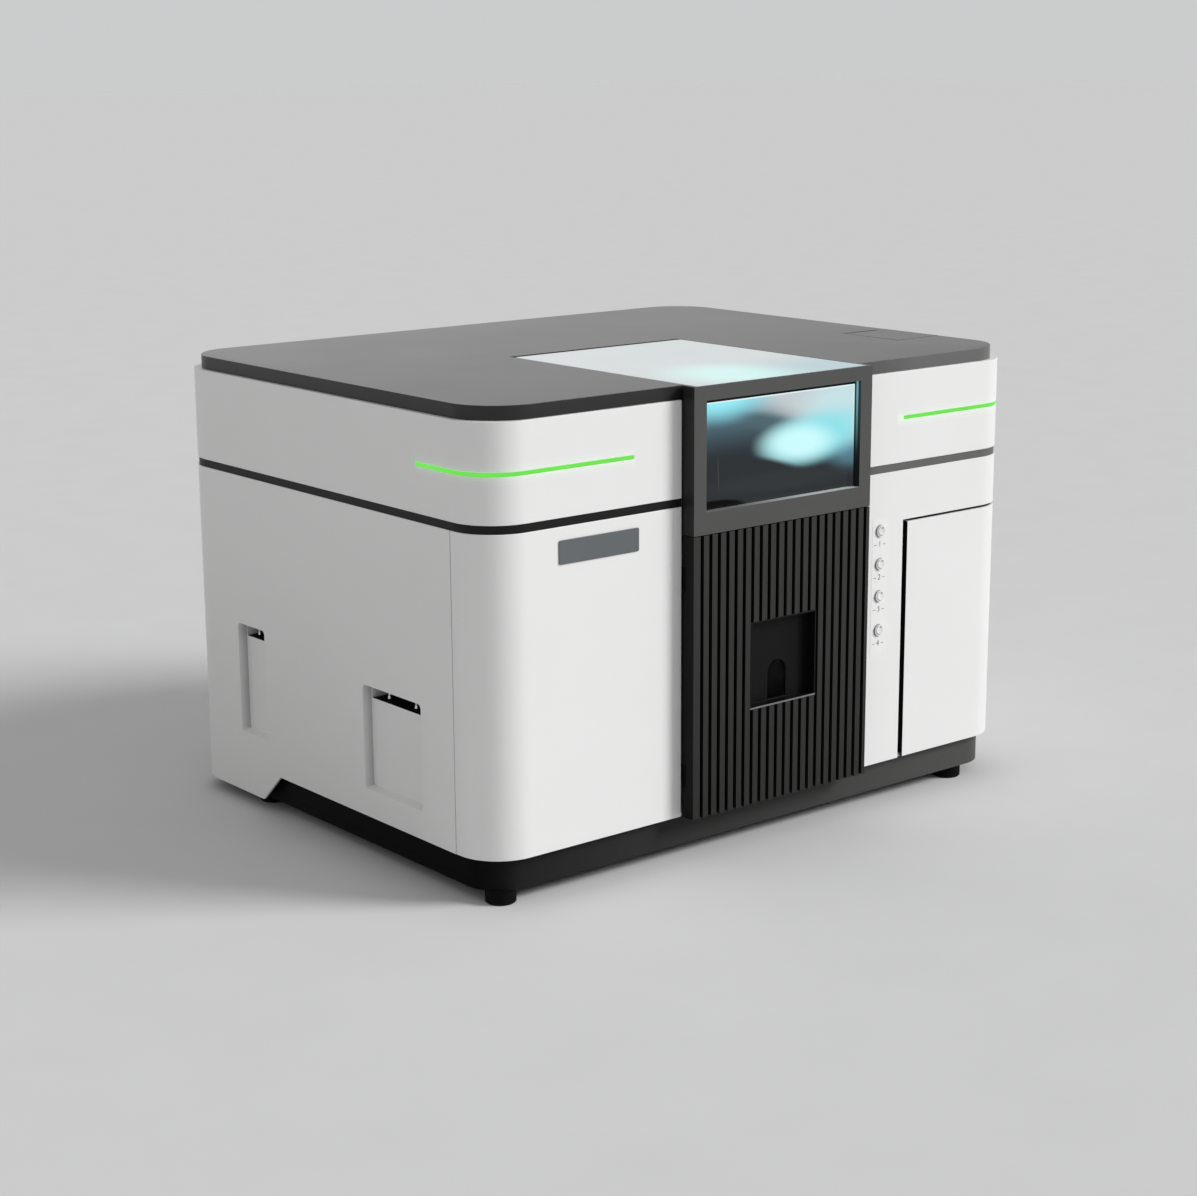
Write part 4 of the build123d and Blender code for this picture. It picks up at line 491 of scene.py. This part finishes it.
# In each finger slot two pins stand near the back of the cup and stiffen it.
# They are turned from zinc plated rod, a little waisted, and catch some light.
pin_clearance = 0.0002
pin_setback = 0.006
pin_shares = (0.16, 0.66)
pin = {"Pin Radius": 0.0026, "Waist Radius": 0.0019,
       "Pin Length": slots[0][1][2] - slots[0][0][2] - pin_clearance}
pin_tree, given = new_growth("cup pins", pin)
rod = add(pin_tree, "GeometryNodeMeshCylinder",
          {"Vertices": 20, "Side Segments": 4, "Radius": given["Pin Radius"],
           "Depth": given["Pin Length"]}).outputs["Mesh"]
spot_on_rod = add(pin_tree, "GeometryNodeInputPosition").outputs["Position"]
rod_height = add(pin_tree, "ShaderNodeSeparateXYZ", {"Vector": spot_on_rod}).outputs["Z"]
from_middle = add(pin_tree, "ShaderNodeMath", {0: rod_height}, operation="ABSOLUTE").outputs[0]
waist_end = add(pin_tree, "ShaderNodeMath", {0: given["Pin Length"], 1: 0.3}, operation="MULTIPLY").outputs[0]
waisted = add(pin_tree, "ShaderNodeMath", {0: from_middle, 1: waist_end}, operation="LESS_THAN").outputs[0]
narrow = add(pin_tree, "ShaderNodeMath", {0: given["Waist Radius"], 1: given["Pin Radius"]},
             operation="DIVIDE").outputs[0]
slim = add(pin_tree, "ShaderNodeCombineXYZ", {"X": narrow, "Y": narrow, "Z": 1}).outputs["Vector"]
drawn_in = add(pin_tree, "ShaderNodeVectorMath", {0: spot_on_rod, 1: slim},
               operation="MULTIPLY").outputs["Vector"]
turned_pin = add(pin_tree, "GeometryNodeSetPosition",
                 {"Geometry": rod, "Selection": waisted, "Position": drawn_in}).outputs["Geometry"]
close_growth(pin_tree, turned_pin, given["Places"], screw_steel)
pin_places = []
for low, high in slots:
    beside = math.copysign(min(abs(low[0]), abs(high[0])) + pin_setback, low[0])
    for share in pin_shares:
        pin_places.append((beside, high[1] - share * (high[1] - low[1]), (low[2] + high[2]) / 2))
grown("cup_pins", pin_tree, pin_places, pin, "cabinet")

# The front panels are bent round the front corners in the same white, and the lamp door hangs between them.
# The edges that face each other across the finger gap, and the button holes, lie in the dark and are painted
# near black as shade.
front_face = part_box("front_left_panel")[0].y
hole_reach = 0.0072
button_boxes = {f"button_{number}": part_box(f"button_{number}") for number in range(1, 5)}
door_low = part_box("lamp_door")[0]
finger_gap = 0.0075
face_tolerance = 0.001


def gap_coat(middle, facing):
    """The coat of a front panel's face: 1 at the finger gap and in the button holes, and else 0."""
    gap_start = door_low.x - finger_gap - face_tolerance
    if abs(facing.x) > 0.9 and gap_start < middle.x < door_low.x + face_tolerance:
        return 1
    for low, high in button_boxes.values():
        away = math.hypot(middle.x - (low.x + high.x) / 2, middle.z - (low.z + high.z) / 2)
        if away < hole_reach and abs(facing.y) < 0.5:
            return 1
    return 0


for name in ("front_left_panel", "front_right_panel", "lamp_door"):
    ease(name, 0.0008, white_coat, others=(painted_dark_shade,), which=gap_coat)
hinge_black = moulded("blackened hinge", (0.002, 0.002, 0.002), 0.6, grain=0.03, gloss=0.1)
dress(hinge_black, "ribbed_door_knuckles")
dress(ground_rod, "lamp_door_knuckles", "hinge_pins")

# A thin glossy film is glued to the strip round the four buttons, with a hole for each of them.
# It is as white as the panel, and only its edge shows.
film_side, film_top, film_bottom = 0.0118, 0.0135, 0.030
film_thickness = 0.00016
film_corner = 0.003
hole_radius = 0.0069
corner_points = 7
hole_points = 48
collar_radius = 0.008
buttons_x = (button_boxes["button_1"][0].x + button_boxes["button_1"][1].x) / 2
film_high = button_boxes["button_1"][1].z - collar_radius + film_top
film_low = button_boxes["button_4"][0].z + collar_radius - film_bottom


def ring_of(work, centre, radius, count, start=0.0, sweep=2 * math.pi, closed=True):
    """Points on a circle, or on a part of one, in the plane of the front."""
    share = sweep / (count if closed else count - 1)
    return [work.verts.new((centre[0] + radius * math.cos(start + i * share), front_face,
                            centre[1] + radius * math.sin(start + i * share))) for i in range(count)]


work = bmesh.new()
outline = []
for corner in range(4):
    side_x = film_side - film_corner if corner in (0, 3) else film_corner - film_side
    side_z = film_high - film_corner if corner in (0, 1) else film_low + film_corner
    outline += ring_of(work, (buttons_x + side_x, side_z), film_corner, corner_points,
                       corner * math.pi / 2, math.pi / 2, False)
loops = [outline]
for low, high in button_boxes.values():
    loops.append(ring_of(work, (buttons_x, (low.z + high.z) / 2), hole_radius, hole_points))
edges = [work.edges.new((loop[i], loop[(i + 1) % len(loop)])) for loop in loops for i in range(len(loop))]
bmesh.ops.triangle_fill(work, use_beauty=True, use_dissolve=False, edges=edges)
raised = bmesh.ops.extrude_face_region(work, geom=work.faces[:])
bmesh.ops.translate(work, verts=[v for v in raised["geom"] if isinstance(v, bmesh.types.BMVert)],
                    vec=(0, -film_thickness, 0))
bmesh.ops.recalc_face_normals(work, faces=work.faces[:])
film_mesh = bpy.data.meshes.new("button_film")
work.to_mesh(film_mesh)
work.free()
film_white = powder_coat("button film", (0.83, 0.83, 0.825), 0.22, peel=0.01, drift=0.008)
film_mesh.materials.append(film_white)
new_piece("button_film", film_mesh, "cabinet")

# The four push buttons are moulded in white, with a dished face on which a grey arc and dot are painted as
# shade.
# A number is printed in grey below each one.
grey_print = moulded("grey print", (0.13, 0.13, 0.135), 0.6, grain=0.02)
button_side_shade = moulded("button side", (0.40, 0.40, 0.405), 0.4, grain=0.03)
print_drop = 0.0150
print_lift = 0.00010
print_size = 0.0088
cap_radius = 0.0065
arc_radius = cap_radius * 0.86
light_radius = cap_radius * 0.80
light_shift = (0.0026, 0.0006)
dot_radius = 0.0012
dot_shift = (0.0029, 0.0032)


def disc(tree, place, centre, radius):
    """One within a radius of an axis that runs from front to back, and zero outside it."""
    near = add(tree, "ShaderNodeMapping",
               {"Vector": place, "Location": (centre[0], 0, centre[1]), "Scale": (radius, 1000, radius)},
               vector_type="TEXTURE").outputs["Vector"]
    away = add(tree, "ShaderNodeVectorMath", {0: near}, operation="LENGTH").outputs["Value"]
    return add(tree, "ShaderNodeMapRange",
               {"Value": away, "From Min": 1.06, "From Max": 0.94}).outputs["Result"]


for number, (name, (low, high)) in enumerate(button_boxes.items(), start=1):
    middle_x, middle_z = (low.x + high.x) / 2, (low.z + high.z) / 2
    cap_white = moulded(name + " white", (0.80, 0.80, 0.79), 0.24, grain=0.03)
    tree, shader, place, cap = reopened(cap_white)
    # Painted shade: a grey arc on the left of the dish and a grey dot at its upper right.
    whole = disc(tree, place, (middle_x, middle_z), arc_radius)
    light = disc(tree, place, (middle_x + light_shift[0], middle_z + light_shift[1]), light_radius)
    arc_shade = add(tree, "ShaderNodeMath", {0: whole, 1: light}, operation="SUBTRACT", use_clamp=True).outputs[0]
    dot_shade = disc(tree, place, (middle_x + dot_shift[0], middle_z + dot_shift[1]), dot_radius)
    painted_cap_shade = add(tree, "ShaderNodeMath", {0: arc_shade, 1: dot_shade}, operation="MAXIMUM").outputs[0]
    tree.links.new(blended(tree, painted_cap_shade, cap, (0.36, 0.36, 0.365)), shader.inputs["Base Color"])
    # The side walls of each cap are painted grey as shade.
    ease(name, 0.0002, cap_white, others=(button_side_shade,), which=lambda middle, facing: int(abs(facing.y) < 0.5))

    written = bpy.data.curves.new(name + "_mark", "FONT")
    written.body = f"\u2013 {number} \u2013"
    written.size = print_size
    written.align_x = "CENTER"
    written.align_y = "CENTER"
    writer = bpy.data.objects.new(name + "_writer", written)
    scene.collection.objects.link(writer)
    mark = bpy.data.meshes.new_from_object(writer.evaluated_get(bpy.context.evaluated_depsgraph_get()))
    bpy.data.objects.remove(writer)
    stand = Euler((math.pi / 2, 0, 0)).to_matrix().to_4x4()
    front = front_face - film_thickness - print_lift
    mark.transform(Matrix.Translation((middle_x, front, middle_z - print_drop)) @ stand)
    mark.materials.clear()
    mark.materials.append(grey_print)
    new_piece(name + "_mark", mark, "cabinet")

# The rear panel is flat sheet in the same white, with punched louvres and a punched fan guard.
# Screws with a hexagon socket hold it round its edge.
ease("rear_panel", 0.0004, white_coat, steps=1)
screws_low, screws_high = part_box("rear_screws")
screw_radius = 0.004
inner_inset = 0.245
inner_xs = (side_face - inner_inset, inner_inset - side_face)
screw_y = (screws_low.y + screws_high.y) / 2
screw_zs = (screws_low.z + screw_radius, (screws_low.z + screws_high.z) / 2, screws_high.z - screw_radius)
outer_xs = (screws_low.x + screw_radius, screws_high.x - screw_radius)
screw_places = [(x, screw_y, z) for x in outer_xs for z in screw_zs]
screw_places += [(x, screw_y, z) for x in inner_xs for z in (screw_zs[0], screw_zs[-1])]
panel_screw = {"Head Radius": screw_radius, "Head Height": screws_high.y - screws_low.y,
               "Socket Radius": 0.0019, "Socket Depth": 0.0014}
panel_screws = grown("panel_screws", screw_tree("panel screws", (-math.pi / 2, 0, 0), screw_steel),
                     screw_places, panel_screw, "cabinet")
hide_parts("rear_screws")

# The fan, the mains inlet and its rocker switch are moulded in black, and the hose fittings are turned brass.
# The fan sits behind the punched guard, and its blades show through the slots.
rocker_black = moulded("rocker black", (0.016, 0.016, 0.017), 0.25, grain=0.02)
turned_brass = drawn_metal("turned brass", (0.72, 0.52, 0.22), 0.24, (60, 900, 60))
dress(black_plastic, "fan_frame", "fan_rotor", "mains_inlet")
dress(rocker_black, "power_rocker")
dress(turned_brass, "gas_fittings")

# The seam between the lower panels and the upper shell is closed by a black extruded strip.
# The strip is set back a little, so that it reads as a dark line. It is painted lighter toward its right end
# as painted light.
grey_from, grey_to = 0.05, 0.16
seam_black = moulded("seam black", (0.006, 0.006, 0.006), 0.45, gloss=0.2)
# Painted light: the strip's colour rises toward its right end.
tree, shader, place, coat = reopened(seam_black)
painted_light_toward_right = blended(tree, along(tree, place, "X", grey_from, grey_to), coat, (0.125, 0.125, 0.122))
tree.links.new(painted_light_toward_right, shader.inputs["Base Color"])
dress(seam_black, "seam_strip")

# The upper shell is one pressed band in the same white. Two green light bars lie flush in it,
# and a little of their light spills onto the coat above and below them.
shell_white = powder_coat("shell white coat", white, 0.38, peel=0.03, drift=0.008)
tree, shader, place = reopened(shell_white)[:3]
bar_margin = 0.01
spill = 0.0
for bar in ("light_bar_left", "light_bar_right"):
    low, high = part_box(bar)
    middle_z = (low.z + high.z) / 2
    for reach, share in ((0.0035, 0.05), (0.006, 0.03), (0.010, 0.02)):
        near_bar = within(tree, place, (low.x - bar_margin, low.y - bar_margin, middle_z - reach),
                          (high.x, high.y, middle_z + reach))
        step = add(tree, "ShaderNodeMath", {0: near_bar, 1: share}, operation="MULTIPLY").outputs[0]
        spill = add(tree, "ShaderNodeMath", {0: spill, 1: step}, operation="ADD").outputs[0]
tree.links.new(spill, shader.inputs["Emission Strength"])
shader.inputs["Emission Color"].default_value = (0.25, 1.0, 0.15, 1)
ease("upper_shell", 0.0007, shell_white)

lit_acrylic, tree, shader, place = new_finish("lit green acrylic")
tone, cloud = drifting(tree, place, 30, (0.15, 0.74, 0.075), 0.04)
tree.links.new(tone, shader.inputs["Emission Color"])
shader.inputs["Base Color"].default_value = (0.01, 0.03, 0.008, 1)
shader.inputs["Specular IOR Level"].default_value = 0.25
rough_and_bumped(tree, shader, cloud, 0.2, 0.3, cloud, 0.02, 0.0005)
shader.inputs["Emission Strength"].default_value = 1
dress(lit_acrylic, "light_bar_left", "light_bar_right")

# A plain grey plate is glued to the left front panel. Nothing is printed on it.
# It is anodised sheet with a fine grain and a broken edge.
blank_plate = powder_coat("blank nameplate", (0.105, 0.118, 0.126), 0.4, drift=0.06)
ease("nameplate", 0.0003, blank_plate)


# The ribbed door is the lower half of the dark column, a deep pan coated dark grey with upright grooves.
# It is painted darker toward the floor as shade. Its flanks are nearly black, and its grooves are painted
# nearly black as shade.
column_low, column_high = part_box("ribbed_door")
column_lip = 0.0003


def column_coat(middle, facing):
    """The coat of a face of the column: 1 on its flanks and in its grooves, and else 0."""
    return int(middle.y > column_low.y + column_lip and facing.y < 0.5)


groove_shade_and_black_flanks = powder_coat("unlit dark coat", (0.0045, 0.0045, 0.0045), 0.6, gloss=0.14)
door_grey = powder_coat("ribbed door coat", (0.018, 0.018, 0.017), 0.42, gloss=0.20)
tree, shader, place, coat = reopened(door_grey)
upward = along(tree, place, "Z", column_low.z, column_high.z)
shade_toward_floor = blended(tree, upward, coat, (0.031, 0.032, 0.030))
tree.links.new(shade_toward_floor, shader.inputs["Base Color"])
ease("ribbed_door", 0.00025, door_grey, others=(groove_shade_and_black_flanks,), which=column_coat)

# The sample recess is a moulded tray. Its front lip carries a painted highlight along the foot,
# and the rest of it lies in the dark and is painted near black as shade.
recess_low, recess_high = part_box("sample_recess")
lip_depth, lip_height = 0.0012, 0.0019
recess_shade = moulded("recess black", (0.003, 0.003, 0.003), 0.5, gloss=0.12)
tree, shader, place, coat = reopened(recess_shade)
foot_lip = within(tree, place,
                  (recess_low.x, recess_low.y - face_tolerance, recess_low.z - face_tolerance),
                  (recess_high.x, recess_low.y + lip_depth, recess_low.z + lip_height))
painted_lip_highlight = blended(tree, foot_lip, coat, (0.17, 0.17, 0.17))
tree.links.new(painted_lip_highlight, shader.inputs["Base Color"])
ease("sample_recess", 0.0003, recess_shade)

# The hood is a picture frame with two arms behind it. The sill under the window carries a painted highlight
# that grows toward the right, and the right reveal carries a painted cyan glow with a painted reflection
# streak.
window_low, window_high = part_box("front_window")
window_lap = 0.004
pane_clearance = 0.0002
sill_z = window_low.z - pane_clearance + window_lap
reveal_x = window_high.x + pane_clearance - window_lap
lintel_z = window_high.z + pane_clearance - window_lap
sill_light_from, sill_light_to = -0.06, 0.04
reveal_glow_foot = 0.405
streak_front, streak_back = 0.6, 0.28


def hood_coat(middle, facing):
    """The coat of a face of the hood: 1 on its flanks, 2 on the sill, 3 on the right reveal, and else 0."""
    if middle.y < window_low.y + 2 * face_tolerance and abs(middle.x) < reveal_x + face_tolerance:
        if facing.z > 0.9 and abs(middle.z - sill_z) < face_tolerance:
            return 2
        if facing.x < -0.9 and abs(middle.x - reveal_x) < face_tolerance:
            return 3
    return int(abs(facing.x) > 0.9 and abs(middle.x) > column_high.x - face_tolerance)


hood_grey = powder_coat("hood coat", (0.061, 0.063, 0.060), 0.42, gloss=0.45)
flank_black = powder_coat("hood flank coat", (0.008, 0.008, 0.008), 0.5, gloss=0.3)
# Painted light: the sill coat is lighter than the hood and brightens toward the right.
sill_highlight_coat = powder_coat("sill coat", (0.20, 0.21, 0.21), 0.4)
tree, shader, place, coat = reopened(sill_highlight_coat)
painted_sill_highlight = blended(tree, along(tree, place, "X", sill_light_from, sill_light_to), coat, (0.66, 0.70, 0.70))
tree.links.new(painted_sill_highlight, shader.inputs["Base Color"])
# The right reveal glows cyan as painted light, rising toward the lintel, with a painted reflection streak
# across it.
painted_reveal_glow, tree, shader, place = new_finish("tinted reveal")
upward = along(tree, place, "Z", reveal_glow_foot, lintel_z, "SMOOTHSTEP")
reveal_depth = window_low.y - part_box("hood_frame")[0].y
streak = within(tree, place, (-1, window_low.y - streak_front * reveal_depth, -1),
                (1, window_low.y - streak_back * reveal_depth, 1))
painted_streak_light = add(tree, "ShaderNodeMath", {0: streak, 1: upward}, operation="MULTIPLY").outputs[0]
reveal_glow_colour = blended(tree, upward, (0.002, 0.002, 0.002), (0.004, 0.022, 0.026))
tree.links.new(blended(tree, painted_streak_light, reveal_glow_colour, (0.14, 0.34, 0.38)), shader.inputs["Emission Color"])
shader.inputs["Emission Strength"].default_value = 1
shader.inputs["Base Color"].default_value = (0.008, 0.010, 0.010, 1)
shader.inputs["Specular IOR Level"].default_value = 0.2
cloud = add(tree, "ShaderNodeTexNoise", {"Vector": place, "Scale": 900}).outputs["Fac"]
rough_and_bumped(tree, shader, cloud, 0.4, 0.5, cloud, 0.05, 0.0004)
ease("hood_frame", 0.0008, hood_grey, others=(flank_black, sill_highlight_coat, painted_reveal_glow), which=hood_coat)

# The front window is dark tinted glass. A soft bright cyan oval is painted on it as the glow of a lamp behind
# it, with painted pale reflections above it, painted shade of the dark bay below, and a painted highlight
# along its top edge.
window_y = window_low.y
glow_foot, glow_head = 0.424, 0.500
shine_low, shine_high = lintel_z - 0.0056, lintel_z - 0.0042
side_edge_x = reveal_x - 0.0016
tinted_glass, tree, shader, place = new_finish("tinted glass")
rise = along(tree, place, "Z", glow_foot, glow_head, "SMOOTHSTEP")
picture = blended(tree, rise, (0.026, 0.030, 0.033), (0.12, 0.23, 0.29))
for x, z, half_x, half_z, lean, colour, hardness in (
        (0.062, 0.506, 0.170, 0.074, 0.22, (0.55, 0.60, 0.62), 0.46),
        (-0.092, 0.499, 0.105, 0.040, 0.06, (0.31, 0.86, 0.96), 0.72),
        (-0.018, 0.4605, 0.055, 0.013, 0.16, (0.078, 0.135, 0.160), 0.90),
        (0.108, 0.424, 0.060, 0.036, 0.10, (0.11, 0.24, 0.31), 0.80),
        (0.100, 0.462, 0.095, 0.046, 0.20, (0.57, 0.76, 0.79), 0.70),
        (0.055, 0.4385, 0.100, 0.036, -0.10, (0.28, 0.76, 0.82), 0.72),
        (0.028, 0.4335, 0.072, 0.0285, 0.06, (0.61, 0.97, 0.99), 0.75),
        (-0.032, 0.4110, 0.095, 0.0165, 0.21, (0.026, 0.031, 0.034), 0.42),
        (0.0, 0.396, 0.140, 0.014, 0.02, (0.032, 0.037, 0.040), 0.60),
        (-0.086, 0.414, 0.0010, 0.028, -0.04, (0.052, 0.058, 0.060), 0.60),
        (-0.095, 0.377, 0.052, 0.010, 0.0, (0.001, 0.001, 0.001), 0.25)):
    glow = spot(tree, place, (x, window_y, z), (half_x, 0.1, half_z), (0, lean, 0), hardness)
    picture = blended(tree, glow, picture, colour)
# Painted highlights along the top and right edges of the pane, and a painted shadow under the lintel.
shine = within(tree, place, (-1, -1, shine_low), (1, 1, shine_high))
picture = blended(tree, shine, picture, (0.78, 0.90, 0.90))
side_edge = within(tree, place, (side_edge_x, -1, -1), (1, 1, shine_high))
edge_share = add(tree, "ShaderNodeMath", {0: side_edge, 1: rise}, operation="MULTIPLY").outputs[0]
picture = blended(tree, edge_share, picture, (0.74, 0.88, 0.90))
shadow = within(tree, place, (-1, -1, shine_high), (1, 1, lintel_z + 0.01))
picture = blended(tree, shadow, picture, (0.004, 0.008, 0.009))
outer_face = within(tree, place, (-1, -1, -1), (1, (window_low.y + window_high.y) / 2, 1))
seen_picture = blended(tree, outer_face, (0.004, 0.006, 0.007), picture)
tree.links.new(seen_picture, shader.inputs["Emission Color"])
shader.inputs["Emission Strength"].default_value = 1
shader.inputs["Base Color"].default_value = (0.002, 0.002, 0.003, 1)
shader.inputs["Specular IOR Level"].default_value = 0.05
wave = add(tree, "ShaderNodeTexNoise", {"Vector": place, "Scale": 12}).outputs["Fac"]
rough_and_bumped(tree, shader, wave, 0.06, 0.10, wave, 0.02, 0.001)
dress(tinted_glass, "front_window")

# The top window is pale etched glass, with a cyan glow of the same lamp painted into it from below, most at
# the front.
# It lies flush in the top of the hood.
top_low, top_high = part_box("top_window")
etched_glass, tree, shader, place = new_finish("etched glass")
tone, cloud = drifting(tree, place, 6, (0.77, 0.83, 0.85), 0.02)
cyan_glow_middle = (0.10, top_low.y + 0.02, top_high.z)
lamp_middle = (-0.030, top_low.y + 0.045, top_high.z)
painted_cyan_glow = spot(tree, place, cyan_glow_middle, (0.16, 0.12, 0.1), hardness=0.9)
tree.links.new(blended(tree, painted_cyan_glow, tone, (0.52, 0.74, 0.80)), shader.inputs["Base Color"])
lamp_light = spot(tree, place, lamp_middle, (0.10, 0.11, 0.1), hardness=0.8)
upper_face = within(tree, place, (-1, -1, (top_low.z + top_high.z) / 2), (1, 1, 1))
lamp_share = add(tree, "ShaderNodeMath", {0: lamp_light, 1: upper_face}, operation="MULTIPLY").outputs[0]
painted_lamp_glow = blended(tree, lamp_share, (0.0, 0.0, 0.0), (0.02, 0.21, 0.17))
tree.links.new(painted_lamp_glow, shader.inputs["Emission Color"])
shader.inputs["Emission Strength"].default_value = 1
frost = add(tree, "ShaderNodeTexNoise", {"Vector": place, "Scale": 1400}).outputs["Fac"]
rough_and_bumped(tree, shader, cloud, 0.2, 0.26, frost, 0.03, 0.0002)
ease("top_window", 0.0005, etched_glass)


# The top plate and the hatch over the lamps are pressed covers with one dark satin coat.
# Their upright edges are painted darker than their tops as shade, and painted lighter toward the lit right
# end as the pan is.
def cover_coat(middle, facing):
    """The coat of a cover's face: 1 on its upright rim, and else 0."""
    return int(abs(facing.z) < 0.5)


plate_coat = powder_coat("top plate coat", (0.085, 0.085, 0.086), 0.34, peel=0.04)
shaded_rim_coat = powder_coat("plate rim coat", (0.012, 0.012, 0.012), 0.40, peel=0.04, gloss=0.4)
rim_grey_from, rim_grey_to = 0.0, 0.22
tree, shader, place, coat = reopened(shaded_rim_coat)
painted_light_toward_right = blended(tree, along(tree, place, "X", rim_grey_from, rim_grey_to), coat, (0.118, 0.118, 0.118))
tree.links.new(painted_light_toward_right, shader.inputs["Base Color"])
ease("top_plate", 0.0004, plate_coat, others=(shaded_rim_coat,), which=cover_coat)
ease("top_hatch", 0.0005, plate_coat, others=(shaded_rim_coat,), which=cover_coat)

# The instrument stands on a plain pale floor in soft studio light, with one broad lamp at the front right.
# The camera stands where the photograph was taken from.
floor_reach = 40
floor_mesh = bpy.data.meshes.new("studio_floor")
floor_mesh.from_pydata([(-floor_reach, -floor_reach, 0), (floor_reach, -floor_reach, 0),
                        (floor_reach, floor_reach, 0), (-floor_reach, floor_reach, 0)], [], [(0, 1, 2, 3)])
pale_floor = powder_coat("pale floor", (0.686, 0.686, 0.690), 0.6, peel=0.0, drift=0.01, gloss=0)
floor_mesh.materials.append(pale_floor)
floor = bpy.data.objects.new("studio_floor", floor_mesh)
scene.collection.objects.link(floor)

world = bpy.data.worlds.new("studio")
world.use_nodes = True
scene.world = world
sky = world.node_tree
fill = sky.nodes["Background"]
fill.inputs["Color"].default_value = (0.995, 0.995, 0.99, 1)
fill.inputs["Strength"].default_value = 0.47
toward = add(sky, "ShaderNodeTexCoord").outputs["Generated"]
aside = add(sky, "ShaderNodeVectorMath", {0: toward, 1: (0.7071, -0.7071, 0)},
            operation="DOT_PRODUCT").outputs["Value"]
dimmer = add(sky, "ShaderNodeMapRange",
             {"Value": aside, "From Min": -0.30, "From Max": 0.20}).outputs["Result"]
wall = blended(sky, dimmer, (0.90, 0.90, 0.90), (0.50, 0.50, 0.50))
mirrored = add(sky, "ShaderNodeBackground", {"Color": wall})
backdrop = add(sky, "ShaderNodeBackground", {"Color": (0.598, 0.602, 0.606, 1)})
ray = add(sky, "ShaderNodeLightPath").outputs
mirror_ray = add(sky, "ShaderNodeMath", {0: ray["Is Glossy Ray"], 1: ray["Is Transmission Ray"]},
                 operation="MAXIMUM").outputs[0]
lit = add(sky, "ShaderNodeMixShader", {"Fac": mirror_ray, 1: fill.outputs[0], 2: mirrored.outputs[0]})
shown = add(sky, "ShaderNodeMixShader",
            {"Fac": ray["Is Camera Ray"], 1: lit.outputs[0], 2: backdrop.outputs[0]})
sky.links.new(shown.outputs[0], sky.nodes["World Output"].inputs["Surface"])

toward_lamp = Vector((0.62, -0.60, 0.50))
lamp_data = bpy.data.lights.new("front_right_lamp", "SUN")
lamp_data.energy = 2.55
lamp_data.angle = math.radians(22)
lamp = bpy.data.objects.new("front_right_lamp", lamp_data)
scene.collection.objects.link(lamp)
lamp.rotation_mode = "QUATERNION"
lamp.rotation_quaternion = toward_lamp.to_track_quat("Z", "Y")

lens = bpy.data.cameras.new("camera")
lens.sensor_width = 36
lens.lens = 70.86
lens.clip_start = 0.05
lens.clip_end = 200
camera = bpy.data.objects.new("camera", lens)
scene.collection.objects.link(camera)
stand_point = (-1.6909, -2.0803, 0.8450)
right = Vector((0.77514599, -0.63175577, -0.00577425)).normalized()
forward = Vector((0.61396666, 0.75541147, -0.22890708)).normalized()
up = right.cross(forward)
turn = Matrix((right, up, -forward)).transposed().to_4x4()
camera.matrix_world = Matrix.Translation(stand_point) @ turn
scene.camera = camera
